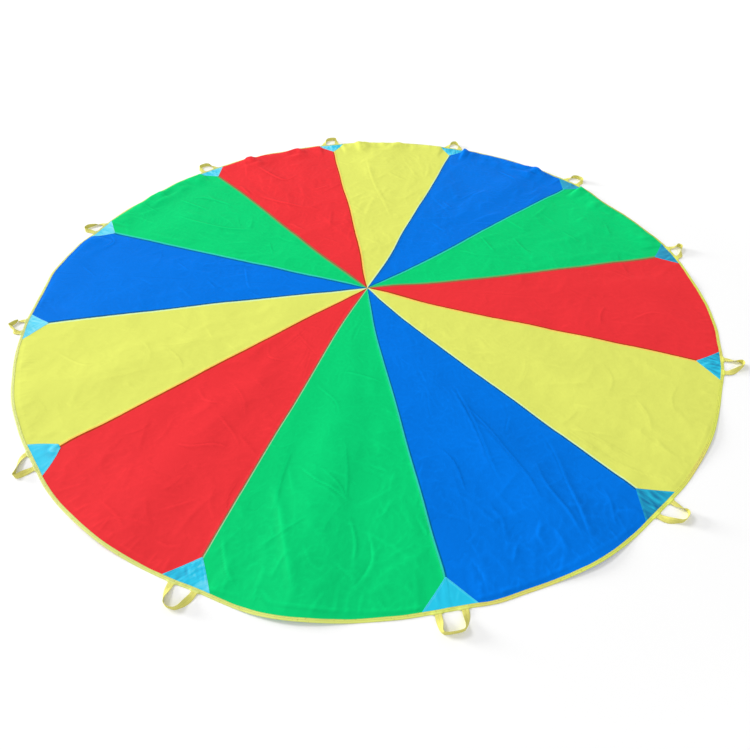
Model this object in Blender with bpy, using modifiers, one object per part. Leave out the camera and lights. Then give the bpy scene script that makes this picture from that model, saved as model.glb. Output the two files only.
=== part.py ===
"""Twelve-gore play parachute: taffeta gores, rim binding, corner patches and twisted webbing handles.

The canopy lies flat on the ground, its centre at the origin and +Z up. Metres throughout.
Gores, seams and handles are numbered clockwise as seen from above, from the seam at 105 degrees.
"""

import math

import bmesh
import bpy
from mathutils import Matrix, Vector

# Canopy
CANOPY_RADIUS = 1.8
GORE_COUNT = 12
FIRST_SEAM_DEG = 105.0
CENTRE_RADIUS = 0.003
CLOTH = 0.0005
CLEARANCE = 0.0003

# Felled seams: each gore laps over the edge of the one before it
FELL_WIDTH = 0.012
FELL_STEP = 0.002
FELL_TUCK = 0.001
FELL_START_RADIUS = 0.080
FELL_RAISED_RADIUS = 0.120
FELL_TUCKED_RADIUS = 0.170

# Binding folded round the rim
BINDING_WIDTH = 0.016
BINDING_ROUND = 0.0008
RIM_RISE_LENGTH = 0.035
RIM_RISE_MARGIN = 0.004

# Corner patches over the outer ends of the seams
PATCH_LENGTH = 0.120
PATCH_WIDTH = 0.220
PATCH_TUCK = 0.006
PATCH_BASE_POINTS = 5

# Webbing handles
WEBBING_WIDTH = 0.025
WEBBING_THICKNESS = 0.0015
HANDLE_SPACING = 0.094
HANDLE_DEPTH = 0.074
HANDLE_STUB = 0.0019
LEG_FLAT_SHARE = 1 / 6
LEG_MIDDLE_SHARE = 1 / 2
LEG_INWARD_SHARE = 1 / 3
LEG_MIDDLE_FLATNESS = 0.6
CROWN_CORNER_FLATNESS = 0.1

# Main folds of the laid cloth
FOLD_HEIGHT = 0.016
FOLD_FULL_SHARE = 0.88

# Stray of the edge between the handles, where the cloth is laid slack or drawn in
EDGE_STRAY = 0.025
STRAY_START_RADIUS = 1.400

# Facets
SMOOTH_ANGLE_DEG = 30
BINDING_STEPS = 4
GORE_COLUMNS = 7
GORE_ROWS = 7
HANDLE_RESOLUTION = 4
BESIDE_SEAM_SHARE = 1.1

# Colours, linear
CLOTH_COLOURS = {
    "yellow": (0.76, 0.81, 0.15),
    "blue": (0.003, 0.19, 0.79),
    "green": (0.007, 0.63, 0.19),
    "red": (0.84, 0.040, 0.050),
}
PATCH_COLOUR = (0.035, 0.56, 0.79)
BINDING_COLOUR = (0.79, 0.88, 0.18)
WEBBING_COLOUR = (0.76, 0.74, 0.12)
CLOTH_ROUGHNESS = 0.55
PATCH_ROUGHNESS = 0.35
BINDING_ROUGHNESS = 0.65
WEBBING_ROUGHNESS = 0.75

# Gore colours, clockwise from the first seam
COLOUR_ORDER = ("yellow", "blue", "green", "red")

# Folds: gore, place across it from -1 to 1, drift of that place towards the centre,
# half its breadth, how far out it starts and its height, all but the gore as shares
FOLD_SHARES = (
    (1, 0.10, -0.20, 0.55, 0.35, 0.55),
    (2, -0.32, 0.30, 0.38, 0.45, 1.00),
    (3, 0.15, -0.30, 0.50, 0.30, 0.25),
    (4, 0.38, 0.00, 0.33, 0.50, 0.45),
    (5, -0.05, 0.30, 0.60, 0.25, 0.50),
    (6, 0.20, -0.45, 0.50, 0.20, 0.75),
    (7, -0.15, 0.25, 0.55, 0.15, 0.80),
    (8, 0.10, -0.35, 0.55, 0.30, 0.60),
    (9, 0.20, 0.00, 0.50, 0.35, 0.55),
    (10, -0.38, 0.00, 0.33, 0.50, 0.45),
    (11, 0.00, 0.20, 0.50, 0.40, 0.65),
    (12, 0.36, 0.00, 0.34, 0.50, 0.90),
    (12, -0.36, 0.00, 0.34, 0.55, 0.50),
)

# How far each gore's edge strays outwards at even steps from one handle to the next,
# clockwise, as shares of EDGE_STRAY
STRAY_SHARES = (
    (0.10, 0.20, 0.10, 0.10, 0.15, 0.15, 0.10),
    (0.15, 0.00, 0.00, -0.10, -0.30, 0.00, -0.20),
    (-0.25, -1.10, -1.25, -0.95, -0.80, -0.70, -0.25),
    (-0.15, -0.45, -0.25, 0.00, 0.00, 0.05, -0.10),
    (-0.20, -0.15, -0.05, 0.10, 0.12, 0.12, 0.15),
    (0.25, 0.50, 0.65, 0.50, 0.30, 0.20, 0.30),
    (0.20, 0.35, 0.60, 0.85, 1.00, 0.85, 0.40),
    (0.05, 0.15, 0.25, 0.25, 0.25, 0.30, 0.25),
    (0.10, 0.10, 0.20, 0.20, 0.15, 0.15, 0.10),
    (-0.15, -0.10, 0.05, 0.40, 0.25, 0.25, 0.25),
    (0.00, 0.00, -0.35, 0.00, -0.20, 0.20, 0.15),
    (0.00, 0.25, -0.15, 0.00, -0.50, -0.10, 0.00),
)

# Handle forms: sideways lean of the crown, depth and breadth of the crown, and roundness,
# as shares of the foot spacing, the depth, the foot spacing and the crown's half breadth
HANDLE_SHARES = (
    (0.25, 0.90, 0.75, 0.45),
    (-0.12, 0.95, 0.55, 0.70),
    (0.10, 0.95, 0.90, 0.45),
    (-0.38, 0.95, 0.50, 0.60),
    (-0.33, 1.12, 0.45, 0.50),
    (-0.20, 1.05, 0.75, 0.45),
    (0.08, 1.00, 0.88, 0.25),
    (0.05, 1.06, 0.70, 0.60),
    (-0.42, 1.00, 0.25, 0.75),
    (0.20, 0.95, 0.70, 0.90),
    (-0.30, 1.00, 0.60, 0.50),
    (-0.12, 0.95, 0.85, 0.45),
)

GORE_ANGLE = math.tau / GORE_COUNT
PLY = CLOTH + CLEARANCE
BINDING_INNER_RADIUS = CANOPY_RADIUS - BINDING_WIDTH
RIM_FLAT_RADIUS = BINDING_INNER_RADIUS - RIM_RISE_MARGIN
RIM_RISE_RADIUS = RIM_FLAT_RADIUS - RIM_RISE_LENGTH
GORE_EDGE_RADIUS = CANOPY_RADIUS - BINDING_ROUND - PLY
PATCH_LEVEL = 3 * PLY
PATCH_HALF_ANGLE = math.asin(PATCH_WIDTH / 2 / CANOPY_RADIUS)
BINDING_LOW_TOP = 2 * PLY + CLOTH
BINDING_HIGH_TOP = 4 * PLY + CLOTH
FOLD_AXIS_HEIGHT = BINDING_LOW_TOP + CLEARANCE
FOOT_INNER = (HANDLE_SPACING - WEBBING_WIDTH) / 2
FOOT_OUTER = (HANDLE_SPACING + WEBBING_WIDTH) / 2
FOOT_ANGLE = math.asin(FOOT_OUTER / CANOPY_RADIUS)
RIM_AT_FOOT = math.sqrt(CANOPY_RADIUS**2 - FOOT_INNER**2)
HANDLE_AXIS_RADIUS = RIM_AT_FOOT + WEBBING_THICKNESS / 2 + CLEARANCE
HANDLE_AXIS_HEIGHT = BINDING_HIGH_TOP + CLEARANCE + WEBBING_THICKNESS / 2


def clear_scene():
    """Remove whatever the scene holds."""
    for scene_object in list(bpy.data.objects):
        bpy.data.objects.remove(scene_object, do_unlink=True)


def make_collection(name):
    """A collection linked to the scene."""
    collection = bpy.data.collections.new(name)
    bpy.context.scene.collection.children.link(collection)
    return collection


def make_material(name, colour, roughness):
    """A plain Principled material."""
    material = bpy.data.materials.new(name)
    material.use_nodes = True
    shader = material.node_tree.nodes["Principled BSDF"]
    shader.inputs["Base Color"].default_value = (*colour, 1)
    shader.inputs["Roughness"].default_value = roughness
    shader.inputs["Metallic"].default_value = 0
    material.diffuse_color = (*colour, 1)
    return material


def smooth(share):
    """An ease from 0 to 1."""
    share = min(max(share, 0), 1)
    return share * share * (3 - 2 * share)


def polar(radius, angle, height):
    """A point at this radius and angle."""
    return Vector((radius * math.cos(angle), radius * math.sin(angle), height))


def seam_angle(number):
    """The angle of a seam, numbered clockwise from 1."""
    return math.radians(FIRST_SEAM_DEG) - (number - 1) * GORE_ANGLE


def fold_lift(gore, angle, radius):
    """How far the cloth of a gore stands off the ground at a place on it."""
    middle = seam_angle(gore) - GORE_ANGLE / 2
    across = (angle - middle) / (GORE_ANGLE / 2)
    out = radius / CANOPY_RADIUS
    height = 0
    for number, place, drift, half, start, tall in FOLD_SHARES:
        if number == gore:
            centre = place + drift * max(FOLD_FULL_SHARE - out, 0)
            bell = 0.5 + 0.5 * math.cos(math.pi * min(abs(across - centre) / half, 1))
            height += tall * bell * smooth((out - start) / (FOLD_FULL_SHARE - start))
    return height * FOLD_HEIGHT


def rim_rise(radius):
    """The cloth leaves the ground near the rim to go into the binding."""
    return PLY * smooth((radius - RIM_RISE_RADIUS) / RIM_RISE_LENGTH)


def edge_stray(gore, angle, radius):
    """How far the cloth of a gore strays outwards at a place on it."""
    shares = (0, *STRAY_SHARES[gore - 1], 0)
    steps = len(shares) - 1
    past_foot = seam_angle(gore) - FOOT_ANGLE - angle
    place = past_foot / (GORE_ANGLE - 2 * FOOT_ANGLE) * steps
    step = min(max(int(place), 0), steps - 1)
    part_way = min(max(place - step, 0), 1)
    share = shares[step] + (shares[step + 1] - shares[step]) * part_way
    ease = smooth((radius - STRAY_START_RADIUS) / (RIM_FLAT_RADIUS - STRAY_START_RADIUS))
    return EDGE_STRAY * share * ease


def gore_rows():
    """Radii of a gore's rows, from the centre to the edge inside the binding."""
    inner = [CENTRE_RADIUS, FELL_START_RADIUS, FELL_RAISED_RADIUS, FELL_TUCKED_RADIUS]
    span = RIM_RISE_RADIUS - FELL_TUCKED_RADIUS
    middle = [FELL_TUCKED_RADIUS + span * row / GORE_ROWS for row in range(1, GORE_ROWS)]
    return inner + middle + [RIM_RISE_RADIUS, RIM_FLAT_RADIUS, GORE_EDGE_RADIUS]


def offset_angle(offset, radius):
    """The angle that an offset square to a radial line takes up at this radius."""
    return math.asin(offset / radius)


def evenly(first, last, count):
    """Values strictly between two others."""
    return [first + (last - first) * step / (count + 1) for step in range(1, count + 1)]


def beside_foot(step):
    """The column beside a handle's foot, or where the gore is too narrow, beside the seam."""
    return max(FOOT_ANGLE, step * BESIDE_SEAM_SHARE)


def lap_side(gore, radius):
    """The columns of a gore's lapping side, clockwise: angle and height over the ply below."""
    start = seam_angle(gore)
    size = min(radius / FELL_START_RADIUS, 1)
    raised = PLY * (radius >= FELL_RAISED_RADIUS)
    fell = offset_angle(FELL_WIDTH * size, radius)
    step = offset_angle((FELL_WIDTH + FELL_STEP) * size, radius)
    foot = start - beside_foot(step)
    return [(start, raised), (start - fell, raised), (start - step, 0), (foot, 0)]


def tucked_side(gore, radius):
    """The columns of a gore's plain side, which lies under the next gore's lap."""
    end = seam_angle(gore + 1)
    size = min(radius / FELL_START_RADIUS, 1)
    flat = offset_angle(FELL_STEP * size, radius)
    if radius >= FELL_TUCKED_RADIUS:
        edge = -offset_angle(FELL_WIDTH - FELL_TUCK, radius)
    else:
        edge = offset_angle(CLEARANCE, radius)
    flat = max(flat, edge + flat / 2)
    return [(end + beside_foot(flat), 0), (end + flat, 0), (end + edge, 0)]


def fold_line_angle(gore, radius, behind):
    """The angle of a split gore's edge on the fold line, half a clearance from it."""
    middle = seam_angle(gore) - GORE_ANGLE / 2
    facing_right = math.cos(middle) > 0
    turn = offset_angle(CLEARANCE / 2, radius)
    return middle + (turn if behind == facing_right else -turn)


def gore_columns(gore, radius, side):
    """A gore's columns at one radius, clockwise. A split gore's side is lap or tucked."""
    behind = (math.cos(seam_angle(gore)) > 0) == (side == "lap")
    if side == "whole":
        first, last, count = lap_side(gore, radius), tucked_side(gore, radius), GORE_COLUMNS
    elif side == "lap":
        first = lap_side(gore, radius)
        last = [(fold_line_angle(gore, radius, behind), 0)]
        count = GORE_COLUMNS // 2
    else:
        first = [(fold_line_angle(gore, radius, behind), 0)]
        last = tucked_side(gore, radius)
        count = GORE_COLUMNS // 2
    inner = [(angle, 0) for angle in evenly(first[-1][0], last[0][0], count)]
    return first + inner + last


def place_grid(mesh, columns, rows, point):
    """Fill a mesh with a grid and put each of its vertices where point(column, row) says."""
    grid = bmesh.new()
    bmesh.ops.create_grid(grid, x_segments=columns, y_segments=rows, size=1)
    for vertex in grid.verts:
        column = round((vertex.co.x + 1) / 2 * columns)
        row = round((vertex.co.y + 1) / 2 * rows)
        vertex.co = point(column, row)
    grid.to_mesh(mesh)
    grid.free()


def add_cloth(name, columns, rows, point, material, collection, offset):
    """A thickened grid. An offset of 1 thickens it upwards and 0 to both sides."""
    mesh = bpy.data.meshes.new(name)
    place_grid(mesh, columns, rows, point)
    mesh.materials.append(material)
    mesh.shade_smooth()
    mesh.set_sharp_from_angle(angle=math.radians(SMOOTH_ANGLE_DEG))
    cloth = bpy.data.objects.new(name, mesh)
    collection.objects.link(cloth)
    thicken = cloth.modifiers.new("thickness", "SOLIDIFY")
    thicken.thickness = CLOTH
    thicken.offset = offset
    thicken.use_even_offset = offset == 0
    return cloth


def add_gore(name, gore, side, material, collection):
    """One gore, or one side of a gore that the fold line splits."""
    radii = gore_rows()
    table = [gore_columns(gore, radius, side) for radius in radii]

    def point(column, row):
        angle, raised = table[row][column]
        lift = fold_lift(gore, angle, radii[row])
        stray = edge_stray(gore, angle, radii[row])
        return polar(radii[row] + stray, angle, raised + lift + rim_rise(radii[row]))

    return add_cloth(name, len(table[0]) - 1, len(radii) - 1, point, material, collection, 1)


def binding_columns(pieces):
    """Angle, lift, stray and top of the binding, clockwise over these gore pieces."""
    columns = []
    for gore, side in pieces:
        around = gore_columns(gore, CANOPY_RADIUS, side)
        around = around[2:] if side != "tucked" else around
        around = around[:-1] if side != "lap" else around
        pitch = GORE_ANGLE / (GORE_COLUMNS + 1)
        for angle, _ in around:
            to_seam = min(seam_angle(gore) - angle, angle - seam_angle(gore + 1))
            over_patch = to_seam < PATCH_HALF_ANGLE + pitch
            top = BINDING_HIGH_TOP if over_patch else BINDING_LOW_TOP
            lift = fold_lift(gore, angle, CANOPY_RADIUS)
            columns.append((angle, lift, edge_stray(gore, angle, CANOPY_RADIUS), top))
    return columns


def add_binding(name, pieces, material, collection):
    """Half of the binding: a strip folded round the cloth's edge, in section a narrow C."""
    columns = binding_columns(pieces)
    half = CLOTH / 2

    def point(column, row):
        angle, lift, stray, top = columns[column]
        section = (
            (BINDING_INNER_RADIUS, top - half),
            (CANOPY_RADIUS - BINDING_ROUND, top - half),
            (CANOPY_RADIUS - half, top / 2),
            (CANOPY_RADIUS - BINDING_ROUND, half),
            (BINDING_INNER_RADIUS, half),
        )
        radius, height = section[row]
        return polar(radius + stray, angle, height + lift)

    return add_cloth(name, len(columns) - 1, BINDING_STEPS, point, material, collection, 0)


def patch_outline():
    """A patch's outline in its own frame, the seam along +Y and the base arc tucked in."""
    base_radius = CANOPY_RADIUS - PATCH_TUCK
    corner = math.asin(PATCH_WIDTH / 2 / base_radius)
    points = [Vector((0, CANOPY_RADIUS - PATCH_LENGTH, 0))]
    for step in range(PATCH_BASE_POINTS):
        turn = corner * (1 - 2 * step / (PATCH_BASE_POINTS - 1))
        points.append(Vector((base_radius * math.sin(turn), base_radius * math.cos(turn), 0)))
    return points


def add_patch(name, seam, material, collection):
    """A flat triangle of satin over the outer end of a seam."""
    outline = patch_outline()
    curve = bpy.data.curves.new(name, "CURVE")
    curve.dimensions = "2D"
    curve.fill_mode = "BOTH"
    curve.extrude = CLOTH / 2
    spline = curve.splines.new("POLY")
    spline.points.add(len(outline) - 1)
    spline.use_cyclic_u = True
    for spot, place in zip(spline.points, outline):
        spot.co = (*place, 1)
    curve.materials.append(material)
    patch = bpy.data.objects.new(name, curve)
    patch.location = (0, 0, PATCH_LEVEL + CLOTH / 2)
    patch.rotation_euler = (0, 0, seam_angle(seam) - math.pi / 2)
    collection.objects.link(patch)
    return patch


def handle_path(lean_share, depth_share, breadth_share, round_share):
    """Control points of a handle in its hinge's frame, with the share of flatness at each.

    X runs along the rim and Y outwards. The webbing leaves the rim flat and stands on edge
    at the crown.
    """
    foot = HANDLE_SPACING / 2
    depth = HANDLE_DEPTH * depth_share
    lean = HANDLE_SPACING * lean_share
    crown = foot * breadth_share
    corner = crown * round_share
    standing = (WEBBING_WIDTH + WEBBING_THICKNESS) / 2 - HANDLE_AXIS_HEIGHT
    left, right = lean - crown, lean + crown
    flat = depth * LEG_FLAT_SHARE
    middle = depth * LEG_MIDDLE_SHARE
    rise = standing * LEG_MIDDLE_SHARE
    left_middle = -foot + (left + foot) * LEG_INWARD_SHARE
    right_middle = foot + (right - foot) * LEG_INWARD_SHARE
    return (
        (Vector((-foot, -HANDLE_STUB, 0)), 1),
        (Vector((-foot, flat, 0)), 1),
        (Vector((left_middle, middle, rise)), LEG_MIDDLE_FLATNESS),
        (Vector((left, depth - corner, standing)), CROWN_CORNER_FLATNESS),
        (Vector((left + corner, depth, standing)), 0),
        (Vector((right - corner, depth, standing)), 0),
        (Vector((right, depth - corner, standing)), CROWN_CORNER_FLATNESS),
        (Vector((right_middle, middle, rise)), LEG_MIDDLE_FLATNESS),
        (Vector((foot, flat, 0)), 1),
        (Vector((foot, -HANDLE_STUB, 0)), 1),
    )


def add_handle(name, seam, material, collection):
    """A loop of webbing, twisted a quarter turn up each leg, its origin on its hinge."""
    path = handle_path(*HANDLE_SHARES[seam - 1])
    curve = bpy.data.curves.new(name, "CURVE")
    curve.dimensions = "3D"
    curve.twist_mode = "Z_UP"
    curve.extrude = WEBBING_WIDTH / 2
    curve.resolution_u = HANDLE_RESOLUTION
    spline = curve.splines.new("NURBS")
    spline.points.add(len(path) - 1)
    spline.order_u = 3
    spline.use_endpoint_u = True
    for spot, (place, flat_share) in zip(spline.points, path):
        spot.co = (*place, 1)
        spot.tilt = flat_share * math.pi / 2
    curve.materials.append(material)
    handle = bpy.data.objects.new(name, curve)
    handle.location = polar(HANDLE_AXIS_RADIUS, seam_angle(seam), HANDLE_AXIS_HEIGHT)
    handle.rotation_euler = (0, 0, seam_angle(seam) - math.pi / 2)
    collection.objects.link(handle)
    thicken = handle.modifiers.new("thickness", "SOLIDIFY")
    thicken.thickness = WEBBING_THICKNESS
    thicken.offset = 0
    thicken.use_even_offset = True
    return handle


def add_fold_axis(collection):
    """An empty on the fold line, which carries the back half of the canopy."""
    axis = bpy.data.objects.new("canopy_fold_axis", None)
    axis.location = (0, 0, FOLD_AXIS_HEIGHT)
    collection.objects.link(axis)
    return axis


def carry(piece, axis):
    """Parent a piece to an empty without moving it."""
    piece.parent = axis
    piece.matrix_parent_inverse = Matrix.Translation(-axis.location)


def is_behind(angle):
    """Whether an angle lies on the half that folds over."""
    return math.sin(angle) > 0


def crosses_fold_line(gore):
    """Whether the fold line runs through the middle of a gore."""
    middle = seam_angle(gore) - GORE_ANGLE / 2
    return abs(math.sin(middle)) < math.sin(GORE_ANGLE / 4)


def main():
    clear_scene()
    collection = make_collection("play_parachute")
    cloths = {
        name: make_material(f"taffeta_{name}", colour, CLOTH_ROUGHNESS)
        for name, colour in CLOTH_COLOURS.items()
    }
    satin = make_material("patch_satin", PATCH_COLOUR, PATCH_ROUGHNESS)
    tape = make_material("binding_tape", BINDING_COLOUR, BINDING_ROUGHNESS)
    webbing = make_material("handle_webbing", WEBBING_COLOUR, WEBBING_ROUGHNESS)
    fold_axis = add_fold_axis(collection)

    halves = {True: [], False: []}
    for gore in range(1, GORE_COUNT + 1):
        colour = COLOUR_ORDER[(gore - 1) % len(COLOUR_ORDER)]
        name = f"gore_{gore:02d}_{colour}"
        if not crosses_fold_line(gore):
            behind = is_behind(seam_angle(gore) - GORE_ANGLE / 2)
            halves[behind].append((gore, "whole"))
            piece = add_gore(name, gore, "whole", cloths[colour], collection)
            if behind:
                carry(piece, fold_axis)
            continue
        for side, angle in (("lap", seam_angle(gore)), ("tucked", seam_angle(gore + 1))):
            behind = is_behind(angle)
            halves[behind].append((gore, side))
            half_name = f"{name}_{'back' if behind else 'front'}"
            piece = add_gore(half_name, gore, side, cloths[colour], collection)
            if behind:
                carry(piece, fold_axis)

    for behind, pieces in halves.items():
        # The run starts with the piece whose first edge is on the fold line
        start = next(index for index, (_, side) in enumerate(pieces) if side == "tucked")
        run = pieces[start:] + pieces[:start]
        name = "rim_binding_back" if behind else "rim_binding_front"
        strip = add_binding(name, run, tape, collection)
        if behind:
            carry(strip, fold_axis)

    for seam in range(1, GORE_COUNT + 1):
        behind = is_behind(seam_angle(seam))
        patch = add_patch(f"corner_patch_{seam:02d}", seam, satin, collection)
        handle = add_handle(f"handle_{seam:02d}", seam, webbing, collection)
        if behind:
            carry(patch, fold_axis)
            carry(handle, fold_axis)


main()
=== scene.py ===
import math

import bpy
import numpy as np
from mathutils import Matrix, Vector


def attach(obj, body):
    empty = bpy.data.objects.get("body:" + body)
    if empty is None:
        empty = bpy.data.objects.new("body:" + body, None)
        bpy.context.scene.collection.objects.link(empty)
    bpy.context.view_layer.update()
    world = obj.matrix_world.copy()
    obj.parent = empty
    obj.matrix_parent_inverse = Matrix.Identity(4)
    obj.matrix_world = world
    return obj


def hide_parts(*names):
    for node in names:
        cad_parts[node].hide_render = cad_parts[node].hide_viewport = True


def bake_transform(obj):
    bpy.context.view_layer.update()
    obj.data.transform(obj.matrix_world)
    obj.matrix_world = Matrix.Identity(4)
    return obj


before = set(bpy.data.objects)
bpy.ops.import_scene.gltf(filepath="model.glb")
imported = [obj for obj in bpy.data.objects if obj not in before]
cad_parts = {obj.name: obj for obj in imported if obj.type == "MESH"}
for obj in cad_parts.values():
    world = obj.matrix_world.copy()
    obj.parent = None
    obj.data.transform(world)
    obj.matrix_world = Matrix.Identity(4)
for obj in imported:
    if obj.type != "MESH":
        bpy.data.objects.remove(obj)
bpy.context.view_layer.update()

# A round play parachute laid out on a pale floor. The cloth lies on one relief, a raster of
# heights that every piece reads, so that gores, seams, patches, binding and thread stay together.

# Sizes in metres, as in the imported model
RIM = 1.8
GORES = 12
WEDGE = math.tau / GORES
FIRST_SEAM = math.radians(105)
COLOURS = ["yellow", "blue", "green", "red"]
MILLIMETRE = 0.001
CLOTH = 0.25 * MILLIMETRE
FULL_SEAM_RADIUS = 0.12
GORE_END = 1.797
FOOT_MIDDLE = 0.047
WEBBING_WIDTH, CROWN_CLEARANCE = 0.025, 0.0015
HANDLE_RADIUS, HANDLE_HEIGHT = 1.8007193, 0.00475
HANDLE_DEPTH, HANDLE_SPACING, HANDLE_STUB = 0.074, 0.094, 0.0019
PATCH_HALF_WIDTH, PATCH_APEX, PATCH_MIDDLE = 0.110, 1.680, 1.74
BINDING_START = 1.784
EDGE_STRAY, STRAY_START, STRAY_FULL = 0.025, 1.400, 1.780
FOOT_ANGLE = math.asin(0.0595 / RIM)

# The main folds of each gore as in the solids: place and drift across it, half breadth,
# where it starts on the way out, and height, all as shares
FOLDS = [
    (1, 0.10, -0.20, 0.55, 0.35, 0.55), (2, -0.32, 0.30, 0.38, 0.45, 1.0),
    (3, 0.15, -0.30, 0.50, 0.30, 0.25), (4, 0.38, 0.0, 0.33, 0.50, 0.45),
    (5, -0.05, 0.30, 0.60, 0.25, 0.50), (6, 0.20, -0.45, 0.50, 0.20, 0.75),
    (7, -0.15, 0.25, 0.55, 0.15, 0.80), (8, 0.10, -0.35, 0.55, 0.30, 0.60),
    (9, 0.20, 0.0, 0.50, 0.35, 0.55), (10, -0.38, 0.0, 0.33, 0.50, 0.45),
    (11, 0.0, 0.20, 0.50, 0.40, 0.65), (12, 0.36, 0.0, 0.34, 0.50, 0.90),
    (12, -0.36, 0.0, 0.34, 0.55, 0.50),
]
FOLD_HEIGHT, FOLD_FULL = 0.016, 0.88

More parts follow.
